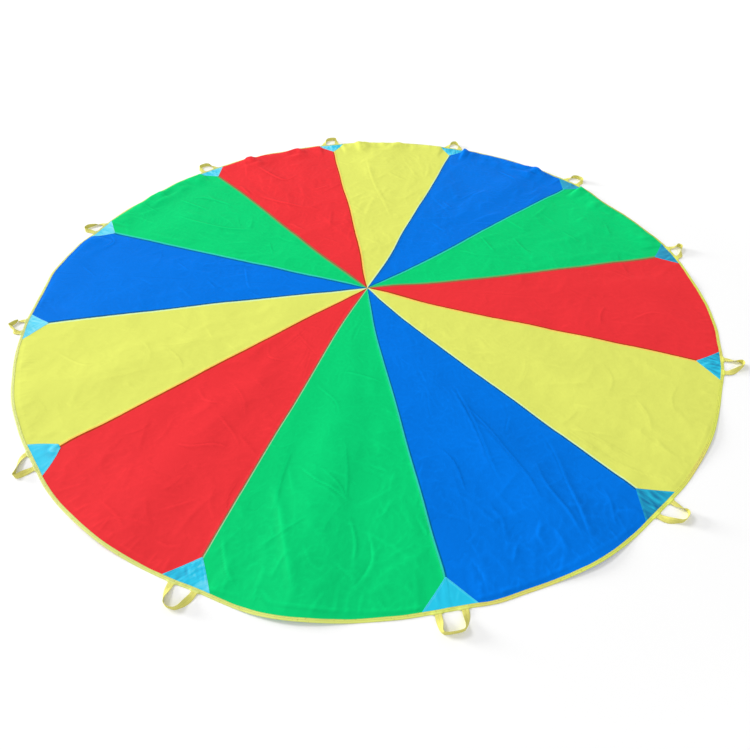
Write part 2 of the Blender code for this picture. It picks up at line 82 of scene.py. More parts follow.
# Creases: breadth and height in millimetres, then the points it runs through, in centimetres
CREASES = [
    (60, 7, (-23, -129), (-15, -153), (-5, -179)), (34, 3, (-20, -107), (-22, -127), (-21, -145)),
    (22, 2, (0, -101), (4, -120), (6, -140)), (22, 2.2, (7, -140), (11, -151), (11, -162)),
    (20, 2.2, (-17, -119), (-8, -126), (0, -130), (8, -136)), (20, 1.8, (-7, -120), (2, -128), (6, -136)),
    (20, 2, (-17, -74), (-6, -84), (-3, -93)), (22, 2.2, (-6, -65), (5, -67), (16, -71)),
    (33, 1.8, (31, -117), (34, -125), (32, -136)), (26, 3.2, (-39, -152), (-34, -165), (-28, -173)),
    (42, 1.9, (-21, -172), (-20, -163)), (38, 1.8, (3, -159), (15, -167)),
    (39, 2.4, (32, -137), (40, -150)), (30, 1.4, (11, -116), (22, -120)),
    (30, 1.2, (16, -142), (21, -138), (23, -131)), (33, 1.6, (-9, -152), (-3, -162), (4, -164)),
    (30, 1.3, (-15, -26), (-4, -38)), (30, 1.4, (-3, -45), (0, -28)),
    (25, 2.2, (12, -171), (18, -158), (15, -145)), (20, 2.2, (-56, -76), (-48, -86), (-44, -98)),
    (20, 2.4, (-58, -95), (-47, -106), (-42, -115)), (30, 1.8, (-76, -97), (-77, -108), (-80, -114)),
    (20, 2.4, (-71, -113), (-63, -114), (-53, -112), (-46, -114)),
    (30, 1.9, (-46, -105), (-39, -112), (-33, -118)), (20, 2, (-45, -48), (-42, -58), (-32, -60)),
    (20, 2, (-33, -38), (-26, -47), (-18, -56)), (30, 1.4, (-74, -137), (-70, -147), (-65, -154)),
    (30, 1.8, (-67, -146), (-57, -141), (-50, -137)), (30, 1.6, (-48, -133), (-47, -141), (-43, -148)),
    (30, 1.6, (-65, -156), (-58, -159), (-51, -158)), (42, 1.8, (-111, -121), (-112, -128), (-108, -137)),
    (30, 1.3, (-86, -126), (-87, -134)), (30, 1.3, (-96, -111), (-88, -107), (-85, -101)),
    (20, 1.8, (-72, -79), (-65, -88), (-55, -89)), (30, 1.3, (-47, -72), (-38, -81)),
    (22, 2, (-92, -142), (-80, -150), (-75, -158)), (30, 1.3, (-61, -126), (-65, -134), (-69, -136)),
    (20, 1.8, (-39, -127), (-41, -138), (-38, -147)), (30, 1.4, (-114, -87), (-118, -92), (-122, -101)),
    (20, 1.7, (-95, -55), (-84, -65), (-81, -75)), (30, 1.2, (-81, -37), (-72, -50)),
    (30, 1.4, (-68, -48), (-53, -60)), (30, 1.2, (-124, -87), (-125, -95), (-123, -101)),
    (30, 1.2, (-106, -80), (-98, -86)), (30, 1.3, (-140, -95), (-132, -104)),
    (22, 1.8, (-149, -63), (-131, -71), (-121, -69)), (20, 1.4, (-110, -51), (-102, -59), (-99, -69)),
    (30, 1.1, (-111, -103), (-106, -97)), (26, 4.3, (46, -66), (56, -91), (62, -111), (67, -124)),
    (28, 3.8, (48, -77), (59, -90), (68, -104), (77, -119), (82, -133)),
    (31, 4.3, (84, -92), (89, -105), (92, -119), (95, -131), (98, -148)),
    (28, 3.8, (79, -106), (83, -120), (90, -132), (95, -145)), (30, 2.3, (72, -84), (69, -97)),
    (33, 2.6, (80, -135), (78, -143), (81, -148)), (38, 2.8, (83, -138), (86, -144), (88, -151)),
    (33, 2.3, (70, -146), (68, -155)), (33, 2.3, (41, -140), (46, -142), (51, -147)),
    (22, 2.9, (41, -105), (48, -114), (52, -128)), (30, 2.1, (60, -132), (65, -137), (66, -146)),
    (33, 2.3, (105, -118), (107, -126), (107, -137)), (30, 1.4, (30, -59), (35, -71)),
    (42, 2.6, (53, -153), (58, -161), (59, -167)), (20, 1.6, (83, -43), (81, -58), (75, -70)),
    (22, 3.2, (93, -89), (105, -100), (117, -109), (133, -115)),
    (20, 2.6, (97, -88), (109, -96), (123, -106)), (20, 2.3, (127, -69), (131, -81), (130, -92)),
    (30, 2.1, (131, -91), (134, -99), (140, -105)), (30, 1.6, (102, -77), (99, -83), (93, -88)),
    (20, 1.4, (117, -48), (120, -59), (116, -70)), (20, 1.4, (151, -57), (144, -70), (143, -82)),
    (30, 1.1, (60, -33), (66, -44)), (33, 1.6, (129, 27), (137, 24), (146, 17)),
    (22, 2, (129, -2), (123, -11), (121, -23)), (30, 1.3, (62, 2), (65, -9)),
    (20, 1.8, (137, -16), (149, -9), (158, -11)), (30, 1.3, (88, -3), (95, -13)),
    (30, 1.3, (108, 7), (117, -1)), (30, 1.3, (163, 20), (168, 6)), (30, 2.5, (78, 78), (91, 63)),
    (20, 3.1, (82, 57), (89, 43), (95, 39)), (20, 3.1, (62, 58), (71, 39)), (33, 2.7, (122, 77), (130, 84)),
    (30, 2.2, (48, 41), (62, 36)), (33, 2.5, (112, 65), (122, 54)), (30, 2.2, (140, 78), (141, 62)),
    (30, 2.2, (102, 85), (110, 74)), (38, 2.7, (39, 96), (46, 86)), (25, 3.4, (77, 142), (90, 126)),
    (38, 2.5, (58, 104), (69, 113)), (33, 2.5, (32, 70), (42, 59)),
    (24, 1.5, (-20, 164), (-9, 119), (5, 79), (10, 62)), (28, 1.1, (6, 165), (23, 121)),
    (33, 0.6, (1, 52), (-2, 41)), (33, 0.6, (13, 101), (19, 84)),
    (28, 5.5, (-96, 136), (-80, 122), (-70, 117), (-63, 125)), (28, 5.5, (-85, 95), (-68, 87), (-48, 81)),
    (33, 3.7, (-48, 105), (-39, 112)), (33, 3.4, (-57, 63), (-44, 53)), (33, 3.4, (-100, 107), (-89, 94)),
    (25, 4.6, (-129, 88), (-117, 88), (-97, 80)), (25, 4.6, (-133, 66), (-113, 58), (-92, 53), (-74, 54)),
    (22, 4.2, (-136, 85), (-110, 72)), (42, 1.6, (-93, 70), (-85, 52)), (42, 1.6, (-82, 69), (-79, 50)),
    (30, 2.9, (-65, 42), (-59, 26)), (33, 3.4, (-158, 77), (-142, 67)), (33, 2.3, (-130, -1), (-119, -7)),
    (20, 2.9, (-73, 15), (-67, -2), (-63, -8)), (22, 4.2, (-166, 42), (-159, 33), (-163, 24)),
    (30, 2.1, (-114, 16), (-103, 7)), (30, 2.1, (-168, 8), (-154, -3)), (30, 2.1, (-91, 0), (-83, -8)),
]
CREASE_SHARE = 0.80
CENTIMETRES = 100
CREASE_LEAN = 0.5
SHORT_CREASES, LONG_CREASES = 420, 70

# How far each gore's edge strays outwards at even steps from handle to handle, clockwise, in
# shares of EDGE_STRAY, as in the solids but for a little more on gore 10
STRAY_SHARES = [
    (0.10, 0.20, 0.10, 0.10, 0.15, 0.15, 0.10), (0.15, 0.00, 0.00, -0.10, -0.30, 0.00, -0.20),
    (-0.25, -1.10, -1.25, -0.95, -0.80, -0.70, -0.25), (-0.15, -0.45, -0.25, 0.00, 0.00, 0.05, -0.10),
    (-0.20, -0.15, -0.05, 0.10, 0.12, 0.12, 0.15), (0.25, 0.50, 0.65, 0.50, 0.30, 0.20, 0.30),
    (0.20, 0.35, 0.60, 0.85, 1.00, 0.85, 0.40), (0.05, 0.15, 0.25, 0.25, 0.25, 0.30, 0.25),
    (0.10, 0.10, 0.20, 0.20, 0.15, 0.15, 0.10), (-0.15, -0.10, 0.20, 0.75, 0.62, 0.62, 0.60),
    (0.00, 0.00, -0.35, 0.00, -0.20, 0.20, 0.15), (0.00, 0.25, -0.15, 0.00, -0.50, -0.10, 0.00),
]

# How far each seam strays clockwise from its straight line, in millimetres, at these radii
SEAM_KNOTS = np.array([0, 0.15, 0.30, 0.60, 0.90, 1.20, 1.50, 1.67, 1.79])
SEAM_STRAYS = [
    (0, 9, 14, 17, 11, 10, 10), (8, 12, 6, 6, 10, 5, 3), (12, 18, 22, 14, 14, 18, 20),
    (6, 19, 31, 31, 26, 22, 18), (12, 20, 22, 13, 7, 0, 2), (16, 25, 25, 22, 15, 7, 3),
    (8, 17, 13, 6, 1, -4, -11), (10, 17, 14, 9, 7, 2, -2), (2, 6, 7, 6, 5, 2, 4),
    (-1, 4, 10, 12, 10, 11, 11), (-1, -3, -5, -9, -9, -10, -9), (-5, -10, -8, -1, 7, 7, 3),
]

# The far edge stands up in a crest before it drops to the binding: its height in millimetres,
# then where it stands higher, with angle and half breadth in degrees
CREST_HEIGHT, CREST_RADIUS, CREST_LIMIT = 10.5, 1.771, 28
CREST_PEAKS = [
    (54.2, 3.3, 12), (63.0, 3.5, -2.5), (68.0, 2.2, -7), (72.2, 1.8, 19), (84.0, 5.0, -3.5),
    (90.0, 3.5, 7), (97.4, 2.2, 20), (110.6, 3.2, -8), (113.6, 2.1, 8), (118.5, 3.5, -6),
    (124.8, 2.0, 18), (130.5, 4.5, -8), (139.5, 3.5, 3), (150.4, 3.0, 7), (158.0, 3.0, -6),
    (36.0, 2.0, 6), (31.0, 5.0, -3), (42.0, 2.2, 12), (48.8, 2.8, -8),
]
# The far edge in degrees: its middle, half its length and where it runs out
FAR_MIDDLE, FAR_HALF, FAR_EASE = 98.5, 88, 15

# How each handle lies: lean, depth, breadth and roundness of its crown, as shares
HANDLES = [
    (0.16, 0.90, 0.84, 0.45), (-0.08, 0.92, 0.52, 0.70), (0.10, 0.95, 0.90, 0.45),
    (-0.38, 0.95, 0.50, 0.60), (-0.33, 1.12, 0.45, 0.50), (-0.20, 1.05, 0.75, 0.45),
    (0.08, 0.96, 0.88, 0.25), (0.03, 1.06, 0.70, 0.45), (-0.42, 1.00, 0.25, 0.75),
    (0.12, 0.92, 0.66, 0.95), (-0.30, 1.00, 0.60, 0.50), (-0.12, 0.95, 0.85, 0.45),
]


def smooth(share):
    """An ease from 0 to 1."""
    share = np.clip(share, 0, 1)
    return share * share * (3 - 2 * share)


def seam_angle(seam):
    """The angle of a seam, numbered clockwise from 0."""
    return FIRST_SEAM - seam * WEDGE


def outward(angle):
    return np.array([math.cos(angle), math.sin(angle)])


def clockwise(angle):
    return np.array([math.sin(angle), -math.cos(angle)])


def body_at(seam):
    """The half of the canopy that a seam's end belongs to."""
    return "canopy_back" if math.sin(seam_angle(seam)) > 0 else "canopy_front"


def from_seam(angle):
    """How far any angles are clockwise of the nearest seam."""
    turn = (FIRST_SEAM - angle) / WEDGE
    return (turn - np.round(turn)) * WEDGE


def bell(away, half):
    """1 in the middle, 0 from half a breadth away."""
    return 0.5 + 0.5 * np.cos(math.pi * np.minimum(np.abs(away) / half, 1))


def unit(vectors):
    """Rows of vectors at length 1."""
    return vectors / np.linalg.norm(vectors, axis=1)[:, None]


def mirrored(side):
    """The values of a top side, then the same ones for the underside, which runs back."""
    return np.concatenate([side, side[:, ::-1]], 1)


def running(points):
    """How far along a line each of its points is."""
    return np.concatenate([[0], np.cumsum(np.linalg.norm(np.diff(points, axis=0), axis=1))])


def counts(t):
    """What each of four values in a row counts for at t between the middle two, on a smooth line."""
    before, start = (2 * t**2 - t**3 - t) / 2, (3 * t**3 - 5 * t**2 + 2) / 2
    end, after = (4 * t**2 - 3 * t**3 + t) / 2, (t**3 - t**2) / 2
    return before, start, end, after


def rounded(points):
    """A smooth run of points through the given ones."""
    points = np.array(points, float)
    if len(points) == 2:
        return points
    padded = np.concatenate([2 * points[:1] - points[1:2], points, 2 * points[-1:] - points[-2:-1]])
    shares = counts(np.linspace(0, 1, 6, endpoint=False)[:, None])
    fours = zip(padded, padded[1:], padded[2:], padded[3:])
    runs = [sum(share * point for share, point in zip(shares, four)) for four in fours]
    return np.concatenate([*runs, points[-1:]])


def through(knots, values, places):
    """A smooth line through the values at the knots, read at any places."""
    slope = np.gradient(values, knots)
    step = np.clip(np.searchsorted(knots, places) - 1, 0, len(knots) - 2)
    gap = knots[step + 1] - knots[step]
    t = (places - knots[step]) / gap
    start, end = values[step], values[step + 1]
    ease = t * t * (3 - 2 * t)
    return start + (end - start) * ease + gap * t * (1 - t) * ((1 - t) * slope[step] - t * slope[step + 1])


def edge_stray(angle):
    """How far the rim strays outwards at any angles."""
    steps = np.linspace(FOOT_ANGLE, WEDGE - FOOT_ANGLE, 9)
    knots = (np.arange(-1, GORES + 1)[:, None] * WEDGE + steps).ravel()
    shares = np.array([(0, *row, 0) for row in STRAY_SHARES])
    shares = np.concatenate([shares[-1:], shares, shares[:1]]).ravel()
    return EDGE_STRAY * through(knots, shares, (FIRST_SEAM - angle) % math.tau)


class Relief:
    """How high the cloth lies over the floor, on a square raster that is read back smoothly."""

    def __init__(self, reach=1.92, pitch=0.004):
        self.reach, self.pitch = reach, pitch
        line = np.arange(-reach, reach + pitch / 2, pitch)
        self.x, self.y = np.meshgrid(line, line, indexing="ij")
        self.radius = np.hypot(self.x, self.y)
        self.angle = np.arctan2(self.y, self.x)
        turn = (FIRST_SEAM - self.angle) % math.tau / WEDGE
        self.gore = np.floor(turn).astype(int) % GORES
        self.across = 1 - 2 * (turn - np.floor(turn))
        self.to_seam = self.radius * np.sin(WEDGE / 2 * (1 - np.abs(self.across)))
        self.z = np.zeros_like(self.x)

    def swells(self, seed, length):
        """Random swells about so long, with mean 0 and deviation 1."""
        spread = 0.45
        noise = np.random.default_rng(seed).standard_normal(self.x.shape)
        rate = np.fft.fftfreq(len(self.x), self.pitch)
        waves = np.maximum(np.hypot(rate[:, None], rate[None, :]) * length, 1e-6)
        field = np.fft.ifft2(np.fft.fft2(noise) * np.exp(-((np.log(waves) / spread) ** 2))).real
        return field / field.std()

    def add_crease(self, points, breadth, height, lean=0.0):
        """Raise a ridge along a line. Lean makes its one side steeper than the other."""
        path = rounded(points)
        margin = 3 * breadth
        low = np.floor((path.min(0) - margin + self.reach) / self.pitch).astype(int)
        high = np.ceil((path.max(0) + margin + self.reach) / self.pitch).astype(int) + 1
        low, high = np.clip(low, 0, len(self.x)), np.clip(high, 0, len(self.x))
        window = slice(low[0], high[0]), slice(low[1], high[1])
        x, y = self.x[window], self.y[window]
        legs = np.diff(path, axis=0)
        lengths = np.hypot(legs[:, 0], legs[:, 1])
        before = np.concatenate([[0], np.cumsum(lengths)])
        near, along, side = np.full(x.shape, np.inf), np.zeros(x.shape), np.zeros(x.shape)
        for (px, py), (dx, dy), length, run in zip(path, legs, lengths, before):
            t = np.clip(((x - px) * dx + (y - py) * dy) / length**2, 0, 1)
            ex, ey = x - px - t * dx, y - py - t * dy
            gap = np.hypot(ex, ey)
            closer = gap < near
            near = np.where(closer, gap, near)
            along = np.where(closer, (run + t * length) / before[-1], along)
            side = np.where(closer, np.sign(dx * ey - dy * ex), side)
        half = breadth / 2.2 * (1 + lean * side)
        shape = np.maximum((1 + (near / half) ** 2) ** -1.5 - 0.005, 0)
        self.z[window] += height * shape * smooth(np.minimum(along, 1 - along) / 0.35)

    def at(self, x, y, field=None):
        """The height, or another field, at any places, by cubic interpolation."""
        field = self.z if field is None else field
        u, v = (np.asarray(x) + self.reach) / self.pitch, (np.asarray(y) + self.reach) / self.pitch
        i, j = np.floor(u).astype(int), np.floor(v).astype(int)
        return sum(
            share_u * share_v * field[i + a - 1, j + b - 1]
            for a, share_u in enumerate(counts(u - i)) for b, share_v in enumerate(counts(v - j))
        )


def crest_heights(land):
    """The crest of the far edge, low where the handles are sewn on."""
    degrees = np.degrees(land.angle)
    height = np.full_like(land.z, CREST_HEIGHT)
    for middle, half, tall in CREST_PEAKS:
        height += tall * bell(degrees - middle, half)
    height = np.minimum(height * (1 + 0.14 * land.swells(14, 0.12)), CREST_LIMIT)
    low = smooth((land.to_seam - 0.064) / 0.028)
    rise = smooth((land.radius - 1.600) / 0.165) * (1 - 0.94 * smooth((land.radius - CREST_RADIUS) / 0.027))
    return MILLIMETRE * (2.0 + (height - 2.0) * low) * rise


def seam_stray(land):
    """How far the cloth strays clockwise with the seams on both sides of it."""
    reach = np.minimum(land.radius, SEAM_KNOTS[-1])
    share, total = (1 - land.across) / 2, 0
    for seam, row in enumerate(SEAM_STRAYS):
        near = (land.gore == seam) * (1 - share) + ((land.gore + 1) % GORES == seam) * share
        total = total + near * through(SEAM_KNOTS, MILLIMETRE * np.array([0, *row, 0]), reach)
    return total


def main_folds(land):
    """The folds that the solids have too, and the crest that stands in their place along the far edge."""
    out, folds = land.radius / RIM, np.zeros_like(land.z)
    for gore, place, drift, half, start, tall in FOLDS:
        off = land.across - (place + drift * np.maximum(FOLD_FULL - out, 0))
        grown = smooth((out - start) / (FOLD_FULL - start))
        folds += (land.gore == gore - 1) * tall * bell(off, half) * grown
    folds *= FOLD_HEIGHT
    off = np.abs((np.degrees(land.angle) + (180 - FAR_MIDDLE)) % 360 - 180)
    far = smooth((FAR_HALF - off) / FAR_EASE)
    inside = smooth((land.radius - 1.66) / 0.05)
    return folds * (1 - 0.5 * far * (1 - inside)) * (1 - inside * far) + crest_heights(land) * far


def bowed_line(rng, radius, veer, lengths, bow):
    """A line that starts at this radius, runs roughly outwards and bows a little to one side."""
    start = radius * outward(rng.uniform(0, math.tau))
    heading = math.atan2(start[1], start[0]) + rng.normal(0, math.radians(veer))
    run, aside = outward(heading), clockwise(heading)
    length, bend = rng.uniform(*lengths), rng.normal(0, bow)
    return [start, start + length * (run / 2 + bend * aside), start + length * run]


def add_creases(land, rng):
    """Fine random creases, long random ones, and the listed ones."""
    lean = -CREASE_LEAN, CREASE_LEAN
    for _ in range(SHORT_CREASES):
        line = bowed_line(rng, 1.72 * math.sqrt(rng.random()), 38, (0.08, 0.32), 0.04)
        breadth, height = rng.uniform(0.030, 0.066), rng.uniform(0.3, 1.6) * MILLIMETRE
        land.add_crease(line, breadth, height, rng.uniform(*lean))
    for _ in range(LONG_CREASES):
        line = bowed_line(rng, rng.uniform(0.2, 1.3), 22, (0.3, 0.6), 0.06)
        land.add_crease(line, rng.uniform(0.05, 0.09), rng.uniform(0.8, 2.2) * MILLIMETRE)
    for breadth, height, *points in CREASES:
        line = np.array(points) / CENTIMETRES
        land.add_crease(line, breadth * MILLIMETRE, CREASE_SHARE * height * MILLIMETRE, rng.uniform(*lean))


def add_puckers(land, rng):
    """Short creases across every seam and inwards from the rim, where the sewing draws the cloth in."""
    for seam in range(GORES):
        run, aside = outward(seam_angle(seam)), clockwise(seam_angle(seam))
        place = 0.10
        while place < 1.66:
            place += rng.uniform(0.024, 0.042)
            length, slant = rng.uniform(0.025, 0.055), rng.normal(0, 0.35)
            middle = place * run + rng.uniform(-0.010, 0.014) * aside
            reach = length / 2 * (aside + slant * run)
            line = [middle - reach, middle + reach]
            land.add_crease(line, rng.uniform(0.015, 0.020), rng.uniform(0.15, 0.5) * MILLIMETRE)
    turn = 0.0
    while turn < math.tau:
        turn += rng.uniform(0.030, 0.060) / RIM
        start = rng.uniform(1.775, 1.79) * outward(turn)
        inward = -outward(turn + rng.normal(0, 0.25))
        line = [start - 0.02 * inward, start + rng.uniform(0.04, 0.10) * inward]
        land.add_crease(line, rng.uniform(0.018, 0.030), rng.uniform(0.3, 1.2) * MILLIMETRE)


def lay_out_relief():
    """The whole canopy's relief: main folds, rim bumps, creases and puckers."""
    land, rng = Relief(), np.random.default_rng(41)
    folds = main_folds(land)
    add_creases(land, rng)
    rough = land.z * (1 - 0.6 * np.exp(-((land.to_seam / 0.018) ** 2)))
    for seed, length, height in ((3, 0.22, 0.60), (4, 0.10, 0.24), (6, 0.06, 0.11)):
        rough += height * MILLIMETRE * (1 - np.hypot(land.swells(seed, length), 0.12))
    rough += 0.9 * MILLIMETRE * land.swells(5, 0.40)
    land.z = np.zeros_like(land.z)
    add_puckers(land, rng)
    rough += land.z

    # flat where the patches lie, near the fold line, and over the crest's drop
    foot = 1 - smooth((land.radius - 1.62) / 0.08) * (1 - smooth((land.to_seam - 0.07) / 0.04))
    foot *= 1 - 0.7 * smooth((land.radius - 1.765) / 0.02)
    plain = folds + foot * np.maximum(rough + 1.2 * MILLIMETRE, 0)
    limit = 2.2 * MILLIMETRE + 0.09 * np.abs(land.y)
    near_line = limit * (1 - np.exp(-plain / limit))
    share = smooth((np.abs(land.y) - 0.25) / 0.25)
    land.z = z = share * plain + (1 - share) * near_line

    # where the cloth bulges or hollows, for the finishes to paint highlight on bulges and shade in hollows
    bulge = (z[1:-1, 1:-1] * 4 - z[:-2, 1:-1] - z[2:, 1:-1] - z[1:-1, :-2] - z[1:-1, 2:]) / MILLIMETRE
    land.crest = np.zeros_like(z)
    land.crest[1:-1, 1:-1] = np.clip(bulge * 2.2, -1, 1)
    # how far the cloth shifts sideways from the flat cut
    drift = 1.1 * MILLIMETRE
    free = smooth((1.72 - land.radius) / 0.12)
    stray = edge_stray(land.angle) * smooth((land.radius - STRAY_START) / (STRAY_FULL - STRAY_START))
    clear = smooth((np.abs(land.y) - 0.005) / 0.08)
    aside, east, north = seam_stray(land), np.cos(land.angle), np.sin(land.angle)
    land.drift_x = drift * land.swells(8, 0.5) * free + stray * east + aside * north
    land.drift_y = (drift * land.swells(9, 0.5) * free - aside * east) * clear + stray * north
    return land


land = lay_out_relief()


def lay(x, y, level):
    """Places on the cloth: at x, y on the flat cut and so far above the relief."""
    east, north = x + land.at(x, y, land.drift_x), y + land.at(x, y, land.drift_y)
    return np.stack([east, north, np.maximum(land.at(x, y), 0) + level], -1)


def math_node(operation, turned=False):
    """An operator that adds one Math node."""
    def apply(*terms):
        values = dict(enumerate(terms[::-1] if turned else terms))
        return terms[0].nodes.node("ShaderNodeMath", {"operation": operation}, values)
    return apply


class Value:
    """A number that changes over a surface. Arithmetic on it adds Math nodes."""

    def __init__(self, nodes, socket):
        self.nodes, self.socket = nodes, socket

    __add__ = __radd__ = math_node("ADD")
    __mul__ = __rmul__ = math_node("MULTIPLY")
    __sub__, __rsub__ = math_node("SUBTRACT"), math_node("SUBTRACT", turned=True)
    __truediv__, __pow__, __abs__ = math_node("DIVIDE"), math_node("POWER"), math_node("ABSOLUTE")
    sine = math_node("SINE")

    def held(self):
        """The value kept from 0 to 1."""
        settings = {"operation": "MULTIPLY", "use_clamp": True}
        return self.nodes.node("ShaderNodeMath", settings, {0: self, 1: 1.0})

    def rise(self, low, high):
        """0 below low, 1 above high, and a smooth step between."""
        values = {"Value": self, "From Min": low, "From Max": high}
        return self.nodes.node("ShaderNodeMapRange", {"interpolation_type": "SMOOTHSTEP"}, values)


class Nodes:
    """A node tree in the making."""

    def __init__(self, tree):
        self.tree = tree
        tree.nodes.clear()

    def node(self, kind, settings=None, values=None, out=0):
        """Any node: its settings, then its sockets' values or links by name, identifier or number."""
        node = self.tree.nodes.new(kind)
        for name, setting in (settings or {}).items():
            setattr(node, name, setting)
        for key, value in (values or {}).items():
            if isinstance(key, int):
                socket = node.inputs[key]
            else:
                socket = next(s for s in node.inputs if key in (s.identifier, s.name) and s.enabled)
            if isinstance(value, Value):
                self.tree.links.new(value.socket, socket)
            else:
                socket.default_value = (*value, 1) if socket.type == "RGBA" else value
        return Value(self, node.outputs[out]) if node.outputs else None


class Finish(Nodes):
    """A material in the making."""

    def __init__(self, name):
        self.material = bpy.data.materials.new(name)
        self.material.use_nodes = True
        super().__init__(self.material.node_tree)

    def principled(self, **values):
        """A Principled shader with the values or links of its sockets."""
        names = [name.replace("_", " ").title().replace("Ior", "IOR") for name in values]
        return self.node("ShaderNodeBsdfPrincipled", None, dict(zip(names, values.values())))

    def done(self, surface):
        """The material with this shader on its surface."""
        self.node("ShaderNodeOutputMaterial", None, {"Surface": surface})
        return self.material

    def cloth(self, **values):
        """The material with a Principled shader on its surface."""
        return self.done(self.principled(**values))

    def uv(self):
        return self.node("ShaderNodeUVMap", {"uv_map": "UVMap"})

    def place(self):
        return self.node("ShaderNodeTexCoord", out="Object")

    def part(self, vector, axis):
        return self.node("ShaderNodeSeparateXYZ", None, {"Vector": vector}, out="XYZ"[axis])

    def attribute(self, name):
        return self.node("ShaderNodeAttribute", {"attribute_name": name}, out="Fac")

    def noise(self, vector, scale, detail=3.0, roughness=0.55, distortion=0.0):
        looks = {"Scale": scale, "Detail": detail, "Roughness": roughness, "Distortion": distortion}
        return self.node("ShaderNodeTexNoise", None, {"Vector": vector, **looks})

    def stretched_noise(self, vector, scale, *looks):
        """Noise drawn out along one side of the cloth."""
        stretched = self.node("ShaderNodeMapping", None, {"Vector": vector, "Scale": scale})
        return self.noise(stretched, 1.0, *looks)

    def mix(self, factor, low, high):
        """A colour between two."""
        values = {"Factor_Float": factor, "A_Color": low, "B_Color": high}
        return self.node("ShaderNodeMix", {"data_type": "RGBA"}, values, out=2)

    def bump(self, height, distance, strength=1.0, under=None):
        """Fine relief, on top of what lies under it."""
        values = {"Height": height, "Distance": distance, "Strength": strength}
        return self.node("ShaderNodeBump", None, values if under is None else {**values, "Normal": under})


def weave(finish, vector, thread):
    """Plain weave: threads over and under, as a height from 0 to 1."""
    rate = math.pi / thread
    across = abs((finish.part(vector, 0) * rate).sine())
    along = abs((finish.part(vector, 1) * rate).sine())
    checker = (finish.part(vector, 0) * rate / 2).sine() * (finish.part(vector, 1) * rate / 2).sine()
    return across * 0.35 + along * 0.35 + checker * 0.3


def make_taffeta(name, colour, depth, painted_edge_tint, share, beside, beside_share):
    """Thin woven nylon: even colour, faint mottling, painted highlight on crests and painted shade in
    hollows, and a stitched strip along each seam tinted with painted highlight and shade.
    """
    finish = Finish(name)
    uv = finish.uv()
    cloud, grain = finish.noise(uv, 2.6, 2.0), finish.noise(uv, 55.0, 3.0)
    # the crest attribute paints highlight on ridges and shade in hollows into the colour
    light = (cloud * 0.6 + grain * 0.25 + finish.attribute("crest") * 0.45).held()
    deep, pale = (tuple(min(part * share, 0.95) for part in colour) for share in (1 - depth, 1 + depth))
    body = finish.mix(light, deep, pale)
    uneven = (0.6 + 0.6 * finish.noise(uv, 60.0, 2.0)).held()
    # the lapped and tucked edges along each seam get painted highlight and painted shade
    shade = finish.mix(finish.attribute("lip").rise(1.15, 0.85) * uneven * share, body, painted_edge_tint)
    shade = finish.mix(finish.attribute("beside").rise(1.15, 0.85) * uneven * beside_share, shade, beside)
    rough = 0.42 + 0.12 * finish.noise(uv, 9.0, 2.0)
    crinkle = finish.bump(finish.noise(uv, 34.0, 4.0, 0.62, 0.6), 0.0012, 0.7)
    puckers = finish.bump(finish.noise(uv, 150.0, 2.0) * finish.attribute("strip"), 0.0006, 0.8, crinkle)
    threads = finish.bump(weave(finish, uv, 0.00045), 0.00004, 0.35, puckers)
    return finish.cloth(base_color=shade, roughness=rough, specular_ior_level=0.015, normal=threads)


def make_satin():
    """Shiny coated satin of the patches, with a painted sheen per patch, painted glossy streaks and painted
    highlight on crests.
    """
    finish = Finish("patch_satin_cloth")
    uv = finish.uv()
    painted_sheen, hem, crest = (finish.attribute(name) for name in ("painted_sheen", "hem", "crest"))
    # painted sheen per patch and painted glossy streaks stand in for the satin's reflections, and crests
    # get a painted highlight
    streaks = finish.stretched_noise(uv, (58.0, 12.0, 1.0), 2.0, 0.5, 0.3) - 0.5
    mottle = finish.noise(uv, 30.0, 3.0) - 0.5
    streaks = streaks * finish.attribute("streak") * 3.2
    light = (painted_sheen + streaks + crest * 0.12 + hem * 0.08 + mottle * 0.12).held()
    dark = finish.mix((light * 2).held(), (0.006, 0.155, 0.36), (0.018, 0.59, 0.85))
    colour = finish.mix((light * 2 - 1).held(), dark, (0.32, 0.83, 0.95))
    folds = finish.bump(finish.noise(uv, 34.0, 2.0, 0.5, 0.4), 0.0008, 0.4)
    twill = ((finish.part(uv, 0) + finish.part(uv, 1)) * (math.pi / 0.0007)).sine()
    threads = finish.bump(twill, 0.00003, 0.3, folds)
    rough = 0.36 + 0.14 * finish.noise(uv, 20.0)
    return finish.cloth(base_color=colour, roughness=rough, specular_ior_level=0.12, normal=threads)


